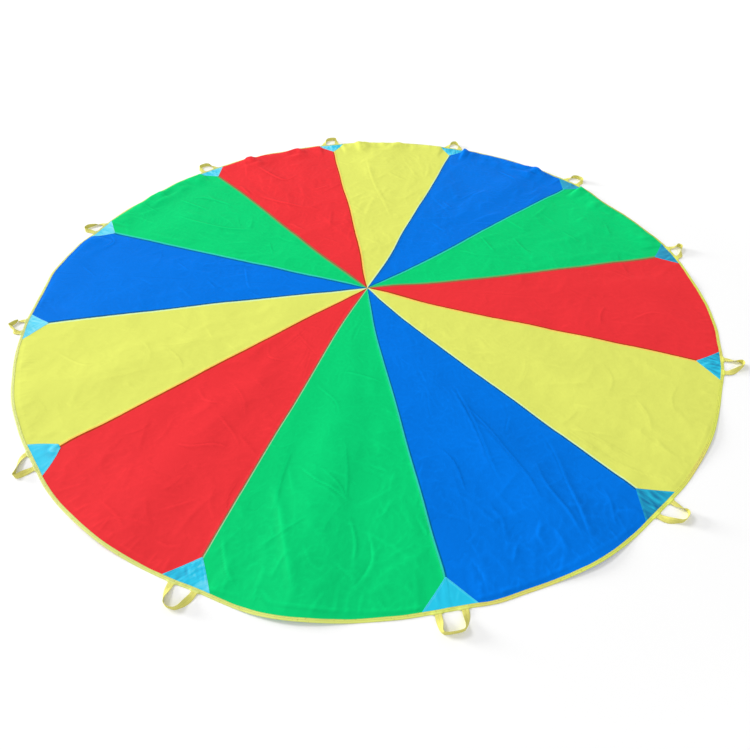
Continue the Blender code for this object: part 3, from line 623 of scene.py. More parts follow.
def make_tape():
    """Binding tape: fine cross ribs, pressed down along two rows of stitches and puckered between, with
    painted shade in the pressed rows, painted highlight on the puckers, painted light paler to the left and
    tan wear that grows into painted shade to the right.
    """
    finish = Finish("binding_tape_cloth")
    uv = finish.uv()
    across = finish.part(uv, 0)
    rows = (1 - (abs(across - 0.0081) / 0.0012).held()) + (1 - (abs(across - 0.0139) / 0.0012).held())
    between = 1 - (abs(across - 0.0110) / 0.0040).held()
    pinch = finish.stretched_noise(uv, (60.0, 330.0, 1.0), 2.0)
    # painted shade darkens the pressed stitch rows and painted highlight lightens the raised puckers
    light = (0.35 + finish.noise(uv, 12.0) * 0.5 + pinch * between * 0.35 - rows * 0.15).held()
    cloth = finish.mix(light, (0.52, 0.59, 0.055), (0.82, 0.89, 0.15))
    # painted light: paler towards the left where the lamps stand, and tan patches that grow into painted
    # shade towards the right
    painted_light_from_left = finish.part(finish.place(), 0).rise(1.9, -1.9)
    cloth = finish.mix(painted_light_from_left * 0.45, cloth, (0.86, 0.90, 0.48))
    tan_wear_and_shade = finish.noise(uv, 1.7, 2.0).rise(0.46, 0.68) * (0.60 - painted_light_from_left * 0.4)
    spots = finish.noise(uv, 85.0, 2.0).rise(0.60, 0.70) * 0.5
    colour = finish.mix(spots, finish.mix(tan_wear_and_shade, cloth, (0.78, 0.60, 0.17)), (0.40, 0.42, 0.09))
    press = finish.bump(pinch * between * 1.2 - rows * 0.9 + finish.noise(uv, 90.0) * 0.3, 0.0010, 0.7)
    ribs = finish.bump(weave(finish, uv, 0.0006), 0.00006, 0.4, press)
    rough = 0.44 + 0.12 * finish.noise(uv, 25.0)
    sheen = {"specular_ior_level": 0.15, "sheen_weight": 0.02}
    return finish.cloth(base_color=colour, roughness=rough, normal=ribs, **sheen)


def make_webbing():
    """Woven webbing: two columns of chevron ribs, with painted shade in the grooves between them, down the
    middle and along its edges.
    """
    finish = Finish("handle_webbing_weave")
    uv = finish.uv()
    across, along = finish.part(uv, 0), finish.part(uv, 1)
    lean = abs(abs(across) - 0.0062)
    rib = abs(((along - lean * 0.9) * (math.pi / 0.0026)).sine())
    groove = (1 - (abs(across) / 0.0011).held()) + abs(across).rise(0.0108, 0.0122)
    height = (rib * 0.7 + 0.3) * (1 - groove.held() * 0.8)
    # painted shade: the colour darkens with the height, in the grooves and at the edges
    light = (height * 0.75 + finish.noise(uv, 60.0) * 0.35 - 0.05).held()
    colour = finish.mix(light, (0.60, 0.55, 0.05), (0.95, 0.91, 0.27))
    ribs = finish.bump(height, 0.0006, 0.9)
    threads = finish.bump(weave(finish, uv, 0.00055), 0.00008, 0.4, ribs)
    rough = 0.55 + 0.15 * finish.noise(uv, 40.0)
    sheen = {"specular_ior_level": 0.12, "sheen_weight": 0.02}
    return finish.cloth(base_color=colour, roughness=rough, normal=threads, **sheen)


def make_thread(name, deep, pale):
    """Twisted sewing thread."""
    finish = Finish(name)
    twist = finish.noise(finish.place(), 900.0, 2.0)
    colour, relief = finish.mix(twist, deep, pale), finish.bump(twist, 0.0002, 0.5)
    return finish.cloth(base_color=colour, roughness=0.55, specular_ior_level=0.3, normal=relief)


def seen_rays(nodes):
    """1 for the camera's rays and for those that shiny or clear things send on, 0 for light."""
    path = nodes.tree.nodes.new("ShaderNodeLightPath").outputs
    rays = "Is Camera Ray", "Is Glossy Ray", "Is Transmission Ray"
    camera, glossy, clear = (Value(nodes, path[ray]) for ray in rays)
    return (camera + glossy + clear).held()


def make_floor():
    """Pale floor, white to the camera where nothing shades it."""
    finish = Finish("pale_floor")
    looks = {"roughness": 0.9, "specular_ior_level": 0.0}
    lit_grey, seen_grey = (0.80, 0.80, 0.80), (0.97, 0.97, 0.97)
    place = finish.place()
    away = (finish.part(place, 0) ** 2 + finish.part(place, 1) ** 2) ** 0.5
    near, middle, far = ((level, level, level) for level in (0.06, 0.13, 0.6))
    glow = finish.mix(away.rise(3.2, 9.0), finish.mix(away.rise(2.0, 3.2), near, middle), far)
    lit = finish.principled(base_color=lit_grey, **looks)
    seen = finish.principled(base_color=seen_grey, **looks, emission_color=glow, emission_strength=1.0)
    return finish.done(finish.node("ShaderNodeMixShader", None, {0: seen_rays(finish), 1: lit, 2: seen}))


# Each cloth's colour and how far it varies, then the tints of its lapped edge and of its tucked edge, which
# paint highlight and shade along the seams
YELLOW = (0.76, 0.81, 0.148), 0.06, (1.0, 0.62, 0.13), 1.0, (0.70, 0.96, 0.50), 1.0
BLUE = (0.001, 0.184, 0.79), 0.17, (0.002, 0.10, 0.22), 0.9, (0.001, 0.14, 0.28), 0.9
GREEN = (0.003, 0.65, 0.185), 0.14, (0.03, 0.64, 0.50), 1.0
RED = (0.89, 0.037, 0.045), 0.13, (0.27, 0.15, 0.06), 0.9, (0.42, 0.05, 0.006), 1.0
TAFFETA = {
    "yellow": make_taffeta("taffeta_yellow_cloth", *YELLOW),
    "blue": make_taffeta("taffeta_blue_cloth", *BLUE),
    "green": make_taffeta("taffeta_green_cloth", *GREEN, (0.15, 0.39, 0.12), 0.9),
    "red": make_taffeta("taffeta_red_cloth", *RED),
}
# the front green gore's tucked edge gets a paler painted highlight than the other green ones
FRONT_GREEN = make_taffeta("taffeta_front_green_cloth", *GREEN, (0.45, 0.66, 0.40), 1.0)
SATIN, TAPE, WEBBING = make_satin(), make_tape(), make_webbing()
SEAM_THREADS = {
    "yellow": make_thread("peach_thread", (0.86, 0.58, 0.16), (0.98, 0.76, 0.34)),
    "blue": make_thread("blue_thread", (0.02, 0.20, 0.42), (0.12, 0.38, 0.66)),
    "green": make_thread("teal_thread", (0.05, 0.56, 0.38), (0.18, 0.76, 0.58)),
    "red": make_thread("brown_thread", (0.24, 0.16, 0.07), (0.38, 0.28, 0.15)),
}
OLIVE_THREAD = make_thread("olive_thread", (0.33, 0.36, 0.05), (0.58, 0.62, 0.12))


def placed(name, data):
    """A new object in the scene."""
    thing = bpy.data.objects.new(name, data)
    bpy.context.scene.collection.objects.link(thing)
    return thing


def make_piece(name, points, faces, material, uv=None, **attributes):
    """A mesh piece with smooth faces, metres for its UV map and a value at each point per attribute."""
    mesh = bpy.data.meshes.new(name)
    mesh.from_pydata(points.reshape(-1, 3), [], faces)
    mesh.materials.append(material)
    mesh.shade_smooth()
    if uv is not None:
        corner = np.zeros(len(mesh.loops), np.int32)
        mesh.loops.foreach_get("vertex_index", corner)
        layer = mesh.uv_layers.new(name="UVMap")
        layer.uv.foreach_set("vector", uv.reshape(-1, 2)[corner].astype(np.float32).ravel())
    for label, values in attributes.items():
        attribute = mesh.attributes.new(label, "FLOAT", "POINT")
        attribute.data.foreach_set("value", values.astype(np.float32).ravel())
    return placed(name, mesh)


def dress(piece, body=None, nodes=()):
    """Hide the parts a piece stands in for and attach it to its body. Without a body its place is baked
    into its mesh.
    """
    if nodes:
        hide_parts(*nodes)
    if body:
        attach(piece, body)
    else:
        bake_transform(piece)


def skin(rows, loop, ring=False):
    """Faces between rows of points that are each a closed loop."""
    row = np.arange(rows if ring else rows - 1)[:, None]
    here = np.arange(loop)[None, :]
    after, beside = (row + 1) % rows, (here + 1) % loop
    faces = [row * loop + here, row * loop + beside, after * loop + beside, after * loop + here]
    return np.stack(np.broadcast_arrays(*faces), -1).reshape(-1, 4).tolist()


def lid(upper, lower, place, turned):
    """Triangles that close the end between two runs of points, both numbered from the same side."""
    i, j, faces = 0, 0, []
    while i < len(upper) - 1 or j < len(lower) - 1:
        if j == len(lower) - 1 or (i < len(upper) - 1 and place[upper[i + 1]] <= place[lower[j + 1]]):
            faces.append((upper[i], upper[i + 1], lower[j]))
            i += 1
        else:
            faces.append((upper[i], lower[j + 1], lower[j]))
            j += 1
    return [face[::-1] if turned else face for face in faces]


def tube(rows, loop, top, places, shared_edges=False):
    """Faces between rows of points that are each a closed loop, top side first, and over both ends."""
    upper, lower = list(range(top)), list(range(loop - 1, top - 1, -1))
    if shared_edges:
        lower = [0, *lower, top - 1]
    faces = skin(rows, loop)
    for row, turned in ((0, True), (rows - 1, False)):
        ends = lid(upper, lower, places[row], turned)
        faces += [tuple(row * loop + i for i in face) for face in ends if len(set(face)) == 3]
    return faces


# The lapping edge of a gore in section: distance from the seam line and level, in millimetres
LAP_TOP = [
    (0.22, 0.45), (0.0, 0.68), (0.22, 0.92), (0.9, 1.03), (1.7, 1.00), (3.2, 1.06), (6.0, 1.10),
    (8.4, 1.05), (9.6, 0.99), (10.8, 0.99), (12.2, 0.80), (14.5, 0.48), (18.0, 0.31), (23.0, 0.25),
]
LAP_UNDER = [(0.6, 0.30), (5.0, 0.30), (9.5, 0.28), (11.5, 0.05), (16.0, 0.0), (23.0, 0.0)]
SEAM_ROWS = (4, 8)
# How wide each seam's edge shows its tint of painted highlight and shade, in millimetres
SEAM_SHOWS = (8, 8, 10, 12, 10, 8, 7, 5, 10, 12, 12, 10)
FOLD_COLUMNS = list(range(-4, 5))
GORE_FIRST_RADII = [0.004, 0.006, 0.009, 0.0125, 0.017, 0.022, 0.028, 0.035, 0.042]
GORE_ROWS, TOP_COLUMNS, UNDER_COLUMNS = 266, 58, 17
TUCK_TOP = [8.0, 3.0, 0.0, -4.0, -9.6]
TUCK_UNDER = [8.0, 0.0, -9.6]


def gore_angles(radii, lap, tuck, fill):
    """Angles clockwise from the gore's own seam for every row, from its lapping to its tucked edge."""
    size = np.minimum(radii / FULL_SEAM_RADIUS, 1)[:, None]

    def turn(distances):
        return np.arcsin(size * np.array(distances)[None, :] * MILLIMETRE / radii[:, None])

    first = turn(lap)
    middle = WEDGE / 2 + turn(FOLD_COLUMNS)
    last = WEDGE - turn(tuck)
    t = (np.arange(fill) + 1) / (fill + 1)
    left = first[:, -1:] + (middle[:, :1] - first[:, -1:]) * t
    right = middle[:, -1:] + (last[:, :1] - middle[:, -1:]) * t
    return np.concatenate([first, left, middle, right, last], 1)


def make_gore(gore):
    """One gore of taffeta: it laps over its neighbour in a raised seam and tucks under the next."""
    colour = COLOURS[gore % 4]
    radii = np.array([*GORE_FIRST_RADII, *np.linspace(0.049, GORE_END, GORE_ROWS)])
    size = np.minimum(radii / FULL_SEAM_RADIUS, 1)[:, None]
    seam = seam_angle(gore)
    top = gore_angles(radii, [s for s, _ in LAP_TOP], TUCK_TOP, TOP_COLUMNS)
    under = gore_angles(radii, [s for s, _ in LAP_UNDER], TUCK_UNDER, UNDER_COLUMNS)
    top_level = np.full(top.shape, 0.25)
    top_level[:, : len(LAP_TOP)] += size * (np.array([z for _, z in LAP_TOP]) - 0.25)
    under_level = np.zeros(under.shape)
    under_level[:, : len(LAP_UNDER)] += size * np.array([z for _, z in LAP_UNDER])
    rise = 0.5 * smooth((radii - 1.762) / 0.03)[:, None]

    def spread(angles, level):
        x, y = radii[:, None] * np.cos(seam - angles), radii[:, None] * np.sin(seam - angles)
        return lay(x, y, (level + rise) * MILLIMETRE)

    upper, lower = spread(top, top_level), spread(under, under_level)
    # the underside stays below every bit of the top side that it spans
    for column in range(len(LAP_UNDER), under.shape[1] - 1):
        spans = (top >= under[:, column - 1 : column]) & (top <= under[:, column + 1 : column + 2])
        lowest = np.where(spans, upper[..., 2], np.inf).min(1) - CLOTH
        lower[:, column, 2] = np.maximum(np.minimum(lower[:, column, 2], lowest), 0)
    points = np.concatenate([upper, lower[:, ::-1]], 1)
    angles = np.concatenate([top, under[:, ::-1]], 1)
    middle = seam - WEDGE / 2
    offset = seam - angles - middle
    uv = np.stack([-radii[:, None] * np.sin(offset), radii[:, None] * np.cos(offset)], -1)
    lap = radii[:, None] * np.sin(angles) / (size * MILLIMETRE)
    tuck = radii[:, None] * np.sin(WEDGE - angles) / MILLIMETRE
    strip = 1 - smooth((lap - 11.0) / 2.0)
    # how near each point is to the seam edges that carry painted highlight and shade
    lip = np.minimum(lap / SEAM_SHOWS[gore], 4)
    beside = np.clip(tuck / (0.9 * SEAM_SHOWS[(gore + 1) % GORES]), 0, 4)
    # the relief's bulges and hollows, for painted highlight and shade
    crest = land.at(points[..., 0], points[..., 1], land.crest)
    faces = tube(*angles.shape, top.shape[1], angles)
    name = f"gore_{gore + 1:02d}"
    cloth = FRONT_GREEN if gore == 6 else TAFFETA[colour]
    looks = {"crest": crest, "strip": strip, "lip": lip, "beside": beside}
    piece = make_piece(name + "_taffeta", points, faces, cloth, uv, **looks)
    nodes = [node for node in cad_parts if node.startswith(name)]
    dress(piece, body_at(gore + 0.5) if len(nodes) == 1 else None, nodes)
    return [upper[(radii > 0.018) & (radii < 1.684), column] for column in SEAM_ROWS]


def over_seams(x, y):
    """How far the plies of the nearest seam lift what lies over them, in metres."""
    aside = np.hypot(x, y) * np.sin(from_seam(np.arctan2(y, x))) / MILLIMETRE
    return 0.82 * MILLIMETRE * smooth((aside + 6) / 6) * (1 - smooth((aside - 12) / 9))


# Each patch's satin: how pale its painted sheen is, how much paler clockwise, how streaky its painted
# glossy streaks are, and their slant
PATCH_LOOKS = [
    (0.60, -0.25, 0.25, 25), (0.45, -0.10, 0.35, -20), (0.20, -0.05, 0.10, 10), (0.17, 0.00, 0.08, 0),
    (0.33, 0.16, 0.36, 12), (0.17, -0.08, 0.24, -8), (0.47, 0.00, 0.02, 0), (0.46, -0.16, 0.26, 38),
    (0.50, 0.00, 0.01, 0), (0.70, 0.00, 0.14, -35), (0.70, 0.05, 0.18, 15), (0.60, 0.18, 0.20, 20),
]
PATCH_ROWS, PATCH_COLUMNS = 34, 47
# This patch has a blunt tip, bowed sides and a fold across it
BLUNT_PATCH = 8

def make_patch(seam):
    """A triangle of satin over the outer end of a seam, hemmed along both sides."""
    rng = np.random.default_rng(200 + seam)
    painted_sheen, slope, streak, slant = PATCH_LOOKS[seam]
    slant = math.radians(slant)
    run, aside = outward(seam_angle(seam)), clockwise(seam_angle(seam))
    blunt, bow = (0.013, 0.006) if seam == BLUNT_PATCH else (0.0025, 0)

    def half_width(inward):
        return blunt + (PATCH_HALF_WIDTH - blunt) * (1 - inward) + bow * np.sin(math.pi * inward)

    def spots(sideways, inward):
        base = np.sqrt(GORE_END**2 - sideways**2)
        depth = base - (base - PATCH_APEX) * inward
        return depth, depth * run[0] + sideways * aside[0], depth * run[1] + sideways * aside[1]

    inward = np.linspace(0, 1, PATCH_ROWS)[:, None]
    across = np.sin(np.linspace(-1, 1, PATCH_COLUMNS) * math.pi / 2 * 0.97) / math.sin(math.pi / 2 * 0.97)
    sideways = half_width(inward) * across
    depth, x, y = spots(sideways, inward)
    edge = np.minimum((half_width(inward) - np.abs(sideways)) * 0.74, depth - PATCH_APEX) / MILLIMETRE
    hem = 1 - smooth((edge - 7) / 2)
    # soft creases across the patch, as heights in its own frame
    lift = np.zeros_like(x)
    for _ in range(7):
        cx, cy = rng.uniform(-0.07, 0.07), rng.uniform(1.71, 1.77)
        tilt, breadth, length = rng.normal(slant, 0.25), rng.uniform(0.006, 0.011), rng.uniform(0.02, 0.05)
        du, dv = sideways - cx, depth - cy
        off, on = du * math.cos(tilt) + dv * math.sin(tilt), dv * math.cos(tilt) - du * math.sin(tilt)
        height = (0.08 + 1.8 * streak) * rng.uniform(0.4, 1.0)
        lift += height * np.exp(-((off / breadth) ** 2) - (on / length) ** 2)
    lift = np.minimum(lift, 1.2) * smooth((edge - 1) / 8) * smooth((1.79 - depth) / 0.02)
    if seam == BLUNT_PATCH:
        lift += 6.0 * np.exp(-(((depth - 1.705) / 0.020) ** 2) - (sideways / 0.022) ** 2)
    level = (0.34 + lift + 0.5 * smooth((depth - 1.762) / 0.03)) * MILLIMETRE + over_seams(x, y)
    round_over = 0.30 * (1 - (1 - np.clip(edge / 0.5, 0, 1)) ** 2) ** 0.5
    top, under = lay(x, y, level + (0.05 + round_over + 0.18 * hem) * MILLIMETRE), lay(x, y, level)
    points = np.concatenate([top, under[:, ::-1]], 1)
    fold = sideways * math.cos(slant) - (depth - PATCH_MIDDLE) * math.sin(slant)
    reach = sideways * math.sin(slant) + (depth - PATCH_MIDDLE) * math.cos(slant)
    uv = np.stack([mirrored(fold) + 0.37 * seam, mirrored(reach)], -1)
    both = mirrored(sideways)
    faces = [face[::-1] for face in tube(*both.shape, PATCH_COLUMNS, both)]
    steep = sum(np.gradient(np.gradient(lift, axis=axis), axis=axis) for axis in (0, 1))
    # each patch's painted sheen, paler clockwise by its slope
    looks = {"painted_sheen": painted_sheen + slope * both / PATCH_HALF_WIDTH, "streak": np.full(both.shape, streak)}
    looks |= {"hem": mirrored(hem), "crest": mirrored(np.clip(-8 * steep, -1, 1))}
    name = f"patch_{seam + 1:02d}"
    piece = make_piece(name + "_satin", points, faces, SATIN, uv, **looks)
    dress(piece, body_at(seam), [f"corner_{name}"])
    # stitches run inside each side and round the apex
    rows = []
    inward = np.linspace(0.0, 0.955, 60)
    for side in (1, -1):
        depth, x, y = spots((half_width(inward) - 0.0042) * side, inward)
        rows.append(lay(x, y, 0.92 * MILLIMETRE + over_seams(x, y))[depth < BINDING_START - 0.001])
    return rows


# The binding in section, in millimetres: distance from the rim's edge inwards, and level.
# It runs over the top from the inner edge, round the rim, back under, and returns inside.
TAPE_PLAIN = [
    (16.0, 1.05), (15.8, 1.42), (15.2, 1.60), (14.2, 1.55), (12.8, 1.72), (11.4, 1.80), (10.0, 1.74),
    (8.8, 1.58), (7.2, 1.80), (4.8, 1.95), (2.4, 1.90), (0.8, 1.60), (0.0, 1.05), (0.7, 0.45), (2.2, 0.05),
    (7.0, 0.0), (15.7, 0.0), (15.8, 0.28),
    (7.0, 0.32), (2.4, 0.45), (1.2, 1.05), (2.6, 1.52), (7.5, 1.42), (15.2, 1.12),
]
TAPE_AT_FOOT = [
    (16.0, 1.05), (15.8, 1.42), (15.2, 1.62), (14.2, 1.66), (12.8, 1.95), (11.4, 2.20), (10.0, 2.65),
    (8.2, 3.35), (5.6, 4.45), (2.8, 5.55), (0.0, 6.30), (-2.4, 5.90), (-3.3, 4.75), (-2.3, 3.10),
    (0.0, 1.60), (5.5, 0.30), (15.7, 0.0), (15.8, 0.28),
    (6.2, 0.60), (0.6, 2.30), (-0.9, 4.60), (0.6, 5.20), (7.2, 2.80), (15.2, 1.12),
]
TAPE_WIDTH, TAPE_SHARE, BINDING_MIDDLE, TAPE_STEPS = 0.016, 0.88, 1.790, 2500
TAPE_POINTS = np.arange(len(TAPE_PLAIN))
# Which of these points lie on the top side, at the inner edges and beside the rows of stitches
TAPE_TOP = np.array([1.0] * 12 + [0.5] + [0.0] * 8 + [0.5] + [1.0] * 2)
TAPE_EDGES, TAPE_PUFFS, TAPE_ROWS = [0, 1, 2, 16, 17, 23], [0, 1, 4, 5, 6], (3, 7)


def rim_turns():
    """Angles along the binding, closer together at the fold line."""
    folds = [middle + step * MILLIMETRE / RIM for middle in (0, math.pi) for step in FOLD_COLUMNS]
    even = np.arange(0, TAPE_STEPS) * (math.tau / TAPE_STEPS)
    turns = np.unique(np.round(np.mod([*even, *folds], math.tau), 7))
    keep = np.concatenate([[True], np.diff(turns) > 0.0003])
    return turns[keep | np.isin(turns, np.round(np.mod(folds, math.tau), 7))]


def make_binding():
    """The tape folded round the rim, one strip, with lips where the handles' feet are sewn in."""
    turns, rng = rim_turns(), np.random.default_rng(77)

    def wander(count):
        return np.interp(turns, np.linspace(0, math.tau, count), rng.normal(0, 1, count))[:, None]

    aside = RIM * np.abs(from_seam(turns))
    foot = smooth((0.0235 - np.abs(aside - FOOT_MIDDLE)) / 0.008)[:, None]
    plain, lip = np.array(TAPE_PLAIN), np.array(TAPE_AT_FOOT)
    inset = TAPE_SHARE * (plain[:, 0] * (1 - foot) + lip[:, 0] * foot)
    level = plain[:, 1] * (1 - foot) + lip[:, 1] * foot
    seams = over_seams(BINDING_MIDDLE * np.cos(turns), BINDING_MIDDLE * np.sin(turns)) / MILLIMETRE
    over = (seams + 0.45 * smooth((0.118 - aside) / 0.012))[:, None]
    pucker = 0.11 * wander(700) * TAPE_TOP + 0.09 * wander(1250) * np.isin(TAPE_POINTS, TAPE_PUFFS)
    level = level + TAPE_TOP * over * (1 - 0.8 * foot) + pucker
    inset = inset + 0.35 * wander(260) * np.isin(TAPE_POINTS, TAPE_EDGES)
    radius = RIM - inset * MILLIMETRE
    x, y = radius * np.cos(turns)[:, None], radius * np.sin(turns)[:, None]
    points = lay(x, y, np.maximum(level, 0) * MILLIMETRE)
    uv = np.stack(np.broadcast_arrays(TAPE_WIDTH - MILLIMETRE * running(plain), (turns * RIM)[:, None]), -1)
    piece = make_piece("rim_binding_tape", points, skin(*x.shape, ring=True), TAPE, uv)
    dress(piece, nodes=["rim_binding_front", "rim_binding_back"])
    return [points[:, column] + np.array([0, 0, 0.10 * MILLIMETRE]) for column in TAPE_ROWS]


def spline(controls, count):
    """Points on a clamped quadratic B-spline through as many control rows as given."""
    controls = np.array(controls, float)
    spans = len(controls) - 2
    t = np.linspace(0, spans, count)
    knots = np.concatenate([[0, 0], np.arange(spans + 1), [spans, spans]])
    span = np.minimum(np.floor(t).astype(int), spans - 1) + 2
    points = []
    for value, k in zip(t, span):
        d = [controls[k - 2], controls[k - 1], controls[k]]
        for r in (1, 2):
            for j in range(2, r - 1, -1):
                low, high = knots[j + k - 2], knots[j + 1 + k - r]
                share = (value - low) / (high - low)
                d[j] = (1 - share) * d[j - 1] + share * d[j]
        points.append(d[2])
    return np.array(points)


def handle_line(lean_share, depth_share, breadth_share, round_share):
    """Control points of a handle's middle line and how flat the webbing lies at each, in its own frame."""
    depth, lean = HANDLE_DEPTH * depth_share, HANDLE_SPACING * lean_share
    crown = FOOT_MIDDLE * breadth_share
    corner = crown * round_share
    up = (WEBBING_WIDTH + CROWN_CLEARANCE) / 2 - HANDLE_HEIGHT
    left, right, foot = lean - crown, lean + crown, FOOT_MIDDLE
    return [
        (-foot, -HANDLE_STUB, 0, 1), (-foot, depth / 6, 0, 1),
        (-foot + (left + foot) / 3, depth / 2, up / 2, 0.6),
        (left, depth - corner, up, 0.1), (left + corner, depth, up, 0),
        (right - corner, depth, up, 0), (right, depth - corner, up, 0.1),
        (foot + (right - foot) / 3, depth / 2, up / 2, 0.6),
        (foot, depth / 6, 0, 1), (foot, -HANDLE_STUB, 0, 1),
    ]


HANDLE_ROWS = 150
# Half of the webbing's section, in millimetres: across it and half its thickness there
WEB_SECTION = [(12.5, 0.0), (12.3, 0.45), (11.7, 0.62), (10.5, 0.72), (6.2, 0.85), (2.0, 0.72), (0.0, 0.50)]


def make_handle(number):
    """A loop of webbing: flat where it is sewn in, turned on its edge round the crown."""
    line = spline(handle_line(*HANDLES[number]), HANDLE_ROWS)
    centre, flat = line[:, :3], line[:, 3:] * math.pi / 2
    run = unit(np.gradient(centre, axis=0))
    level = unit(np.cross(run, (0, 0, 1)))
    wide = np.cross(level, run) * np.cos(flat) + level * np.sin(flat)
    thick = np.cross(run, wide)
    half = WEB_SECTION + [(-a, b) for a, b in WEB_SECTION[-2::-1]]
    a, b = np.array(half + [(a, -b) for a, b in half[-2:0:-1]]).T * MILLIMETRE
    points = centre[:, None] + wide[:, None] * a[:, None] + thick[:, None] * b[:, None]
    x, radial, z = points[..., 0], HANDLE_RADIUS + points[..., 1], points[..., 2] + HANDLE_HEIGHT
    out, aside = outward(seam_angle(number)), clockwise(seam_angle(number))
    east, north = radial * out[0] + x * aside[0], radial * out[1] + x * aside[1]
    points = np.stack([east, north, np.maximum(z, 0.2 * MILLIMETRE)], -1)
    uv = np.stack(np.broadcast_arrays(a[None, :], running(centre)[:, None]), -1)
    faces = tube(len(line), len(a), len(half), [-a] * len(line), shared_edges=True)
    name = f"handle_{number + 1:02d}"
    piece = make_piece(name + "_webbing", points, faces, WEBBING, uv)
    dress(piece, name, [name])


def stitch_tree():
    """Stitches along the host's lines: a bead of thread each pitch, turned along the line."""
    group = bpy.data.node_groups.new("stitches", "GeometryNodeTree")
    kinds = {"Geometry": "Geometry", "Pitch": "Float", "Length": "Float", "Breadth": "Float"}
    kinds |= {"Seed": "Int", "Thread": "Material"}
    for label, kind in kinds.items():
        group.interface.new_socket(label, in_out="INPUT", socket_type="NodeSocket" + kind)
    group.interface.new_socket("Geometry", in_out="OUTPUT", socket_type="NodeSocketGeometry")
    tree = Nodes(group)
    size = {label: tree.node("NodeGroupInput", out=label) for label in kinds}
    line = tree.node("GeometryNodeMeshToCurve", None, {"Mesh": size["Geometry"]})
    spaced = {"Curve": line, "Length": size["Pitch"]}
    spaced = tree.node("GeometryNodeResampleCurve", {"mode": "LENGTH"}, spaced)
    run = tree.node("GeometryNodeInputTangent")
    turned = tree.node("FunctionNodeAlignRotationToVector", {"axis": "X"}, {"Vector": run})
    swing = {"Min_001": -0.12, "Max_001": 0.12, "Seed": size["Seed"]}
    swing = tree.node("FunctionNodeRandomValue", {"data_type": "FLOAT"}, swing, out=1)
    tilt = tree.node("ShaderNodeCombineXYZ", None, {"Z": swing})
    tilted = tree.node("FunctionNodeEulerToRotation", None, {"Euler": tilt})
    settings = {"rotation_space": "LOCAL"}
    both = tree.node("FunctionNodeRotateRotation", settings, {"Rotation": turned, "Rotate By": tilted})
    stretch = {"X": size["Length"], "Y": size["Breadth"], "Z": size["Breadth"]}
    stretch = tree.node("ShaderNodeCombineXYZ", None, stretch)
    bead = tree.node("GeometryNodeMeshIcoSphere", None, {"Radius": 0.5, "Subdivisions": 1})
    bead = tree.node("GeometryNodeTransform", None, {"Geometry": bead, "Scale": stretch})
    beads = {"Points": spaced, "Instance": bead, "Rotation": both}
    beads = tree.node("GeometryNodeInstanceOnPoints", None, beads)
    beads = tree.node("GeometryNodeRealizeInstances", None, {"Geometry": beads})
    beads = tree.node("GeometryNodeSetShadeSmooth", None, {"Geometry": beads})
    beads = tree.node("GeometryNodeSetMaterial", None, {"Geometry": beads, "Material": size["Thread"]})
    tree.node("NodeGroupOutput", None, {"Geometry": beads})
    return group


STITCHES = stitch_tree()
STITCH_SEED = 5


def make_stitches(name, lines, material, body=None, ring=False, pitch=3.6, length=2.6, breadth=0.55):
    """One piece of thread: stitches along several lines, with their sizes in millimetres."""
    edges, start = [], 0
    for line in lines:
        last = start + len(line) - 1
        edges += [(i, i + 1) for i in range(start, last)] + [(last, start)] * ring
        start = last + 1
    mesh = bpy.data.meshes.new(name + "_lines")
    mesh.from_pydata(np.concatenate(lines), edges, [])
    host = placed(name + "_lines", mesh)
    modifier = host.modifiers.new("stitches", "NODES")
    modifier.node_group = STITCHES
    sizes = {"Pitch": pitch, "Length": length, "Breadth": breadth}
    inputs = {label: size * MILLIMETRE for label, size in sizes.items()}
    inputs |= {"Seed": STITCH_SEED, "Thread": material}
    for item in STITCHES.interface.items_tree:
        if item.in_out == "INPUT" and item.name in inputs:
            modifier[item.identifier] = inputs[item.name]
    stitched = bpy.data.meshes.new_from_object(host.evaluated_get(bpy.context.evaluated_depsgraph_get()))
    stitched.name = name
    bpy.data.objects.remove(host)
    bpy.data.meshes.remove(mesh)
    dress(placed(name, stitched), body)


def make_centre_knot():
    """Thread tacked flat over the point where the gores meet, low enough to fold in half with them."""
    turns, around = 150, 8
    t = np.linspace(0, math.tau, turns, endpoint=False)
    knot = [np.sin(t) + 2 * np.sin(2 * t), np.cos(t) - 2 * np.cos(2 * t), -0.13 * np.sin(3 * t)]
    centre = np.stack(knot, -1) * 0.0017
    centre[:, 2] += 0.72 * MILLIMETRE
    run = unit(np.roll(centre, -1, 0) - np.roll(centre, 1, 0))
    side = unit(np.cross(run, (0, 0, 1)))
    a = np.linspace(0, math.tau, around, endpoint=False)[:, None]
    ring = side[:, None] * np.cos(a) + np.cross(side, run)[:, None] * np.sin(a)
    points = centre[:, None] + 0.38 * MILLIMETRE * ring
    points[..., 2] += max(float(land.at(0.0, 0.0)), 0)
    faces = skin(turns, around, ring=True)
    dress(make_piece("centre_knot_thread", points, faces, SEAM_THREADS["yellow"]))


for gore in range(GORES):
    thread = SEAM_THREADS[COLOURS[gore % 4]]
    make_stitches(f"seam_{gore + 1:02d}_thread", make_gore(gore), thread, body_at(gore))
for seam in range(GORES):
    rows = make_patch(seam)
    make_stitches(f"patch_{seam + 1:02d}_thread", rows, SATIN, body_at(seam), breadth=0.6)
    make_handle(seam)
rows = make_binding()
make_stitches("rim_binding_thread", rows, OLIVE_THREAD, ring=True, pitch=3.8, length=2.9)
make_centre_knot()


def make_floor_piece(half):
    mesh = bpy.data.meshes.new("floor")
    corners = [(-half, -half, 0), (half, -half, 0), (half, half, 0), (-half, half, 0)]
    mesh.from_pydata(corners, [], [(0, 1, 2, 3)])
    mesh.materials.append(make_floor())
    placed("floor", mesh)


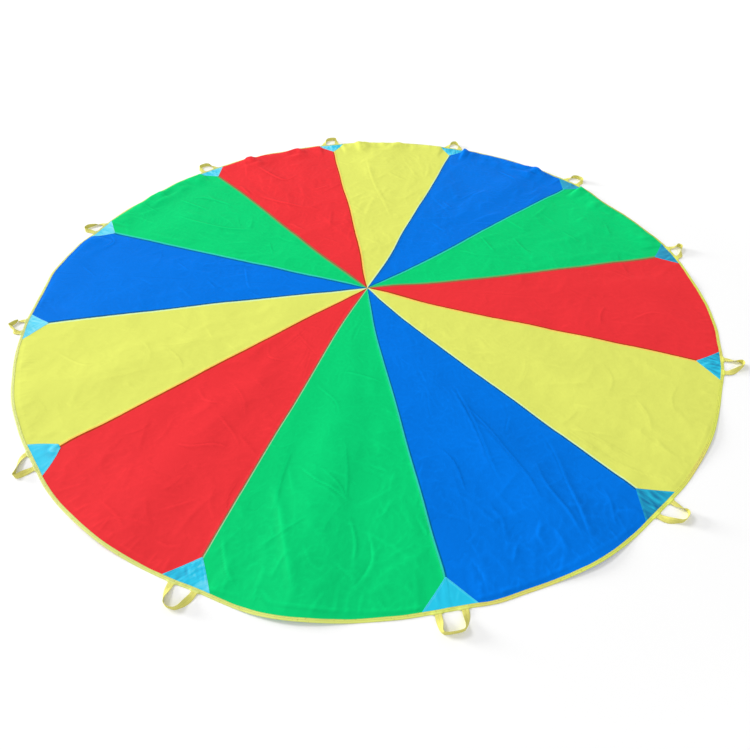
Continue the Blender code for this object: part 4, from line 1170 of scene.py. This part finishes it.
def make_world(level):
    """White to the camera and in reflections, a plain grey level as light."""
    world = bpy.data.worlds.new("studio")
    bpy.context.scene.world = world
    world.use_nodes = True
    nodes = Nodes(world.node_tree)
    lit = nodes.node("ShaderNodeBackground", None, {"Color": (1, 1, 1), "Strength": level})
    seen = nodes.node("ShaderNodeBackground", None, {"Color": (1, 1, 1), "Strength": 1.0})
    pick = nodes.node("ShaderNodeMixShader", None, {0: seen_rays(nodes), 1: lit, 2: seen})
    nodes.node("ShaderNodeOutputWorld", None, {"Surface": pick})


def direction(azimuth, elevation):
    """The way to a lamp or the camera, from angles in degrees."""
    a, e = math.radians(azimuth), math.radians(elevation)
    return Vector((math.cos(a) * math.cos(e), math.sin(a) * math.cos(e), math.sin(e)))


def make_lamp(name, kind, azimuth, elevation, distance, level, **settings):
    """A soft studio lamp. Level is what it adds on a level white surface in the middle."""
    back = direction(azimuth, elevation)
    light = bpy.data.lights.new(name, kind)
    for setting, value in settings.items():
        setattr(light, setting, value)
    light.energy = level * math.pi / back.z * (math.pi * distance**2 if kind == "AREA" else 1)
    lamp = placed(name, light)
    lamp.rotation_euler = back.to_track_quat("Z", "Y").to_euler()
    lamp.location = back * distance


def make_camera(azimuth, elevation, roll, target, distance, lens):
    """The photograph's view: 46 degrees down on the canopy, turned a little."""
    back, right = direction(azimuth - 90, elevation), direction(azimuth, 0)
    up, roll = back.cross(right), math.radians(roll)
    right, up = right * math.cos(roll) + up * math.sin(roll), up * math.cos(roll) - right * math.sin(roll)
    data = bpy.data.cameras.new("camera")
    data.sensor_width, data.lens = 36, lens
    data.clip_start, data.clip_end = 0.05, 100
    camera = placed("camera", data)
    turn = Matrix((right, up, back)).transposed().to_4x4()
    camera.matrix_world = Matrix.Translation(Vector(target) + back * distance) @ turn
    bpy.context.scene.camera = camera


make_floor_piece(half=14.0)
make_world(level=0.54)
# the key is near enough to light the left side a little more than the right
make_lamp("key", "AREA", azimuth=158, elevation=46, distance=14, level=0.27, shape="DISK", size=4.4)
make_lamp("raking", "SUN", azimuth=165, elevation=12, distance=6, level=0.13, angle=math.radians(16))
make_lamp("fill", "SUN", azimuth=-70, elevation=38, distance=6, level=0.09, angle=math.radians(30))
target = 0.1035, -0.6568, 0
make_camera(azimuth=6.219, elevation=46.11, roll=-1.064, target=target, distance=2.7267, lens=27.82)
bpy.context.scene.view_settings.view_transform = "Standard"
bpy.context.view_layer.update()
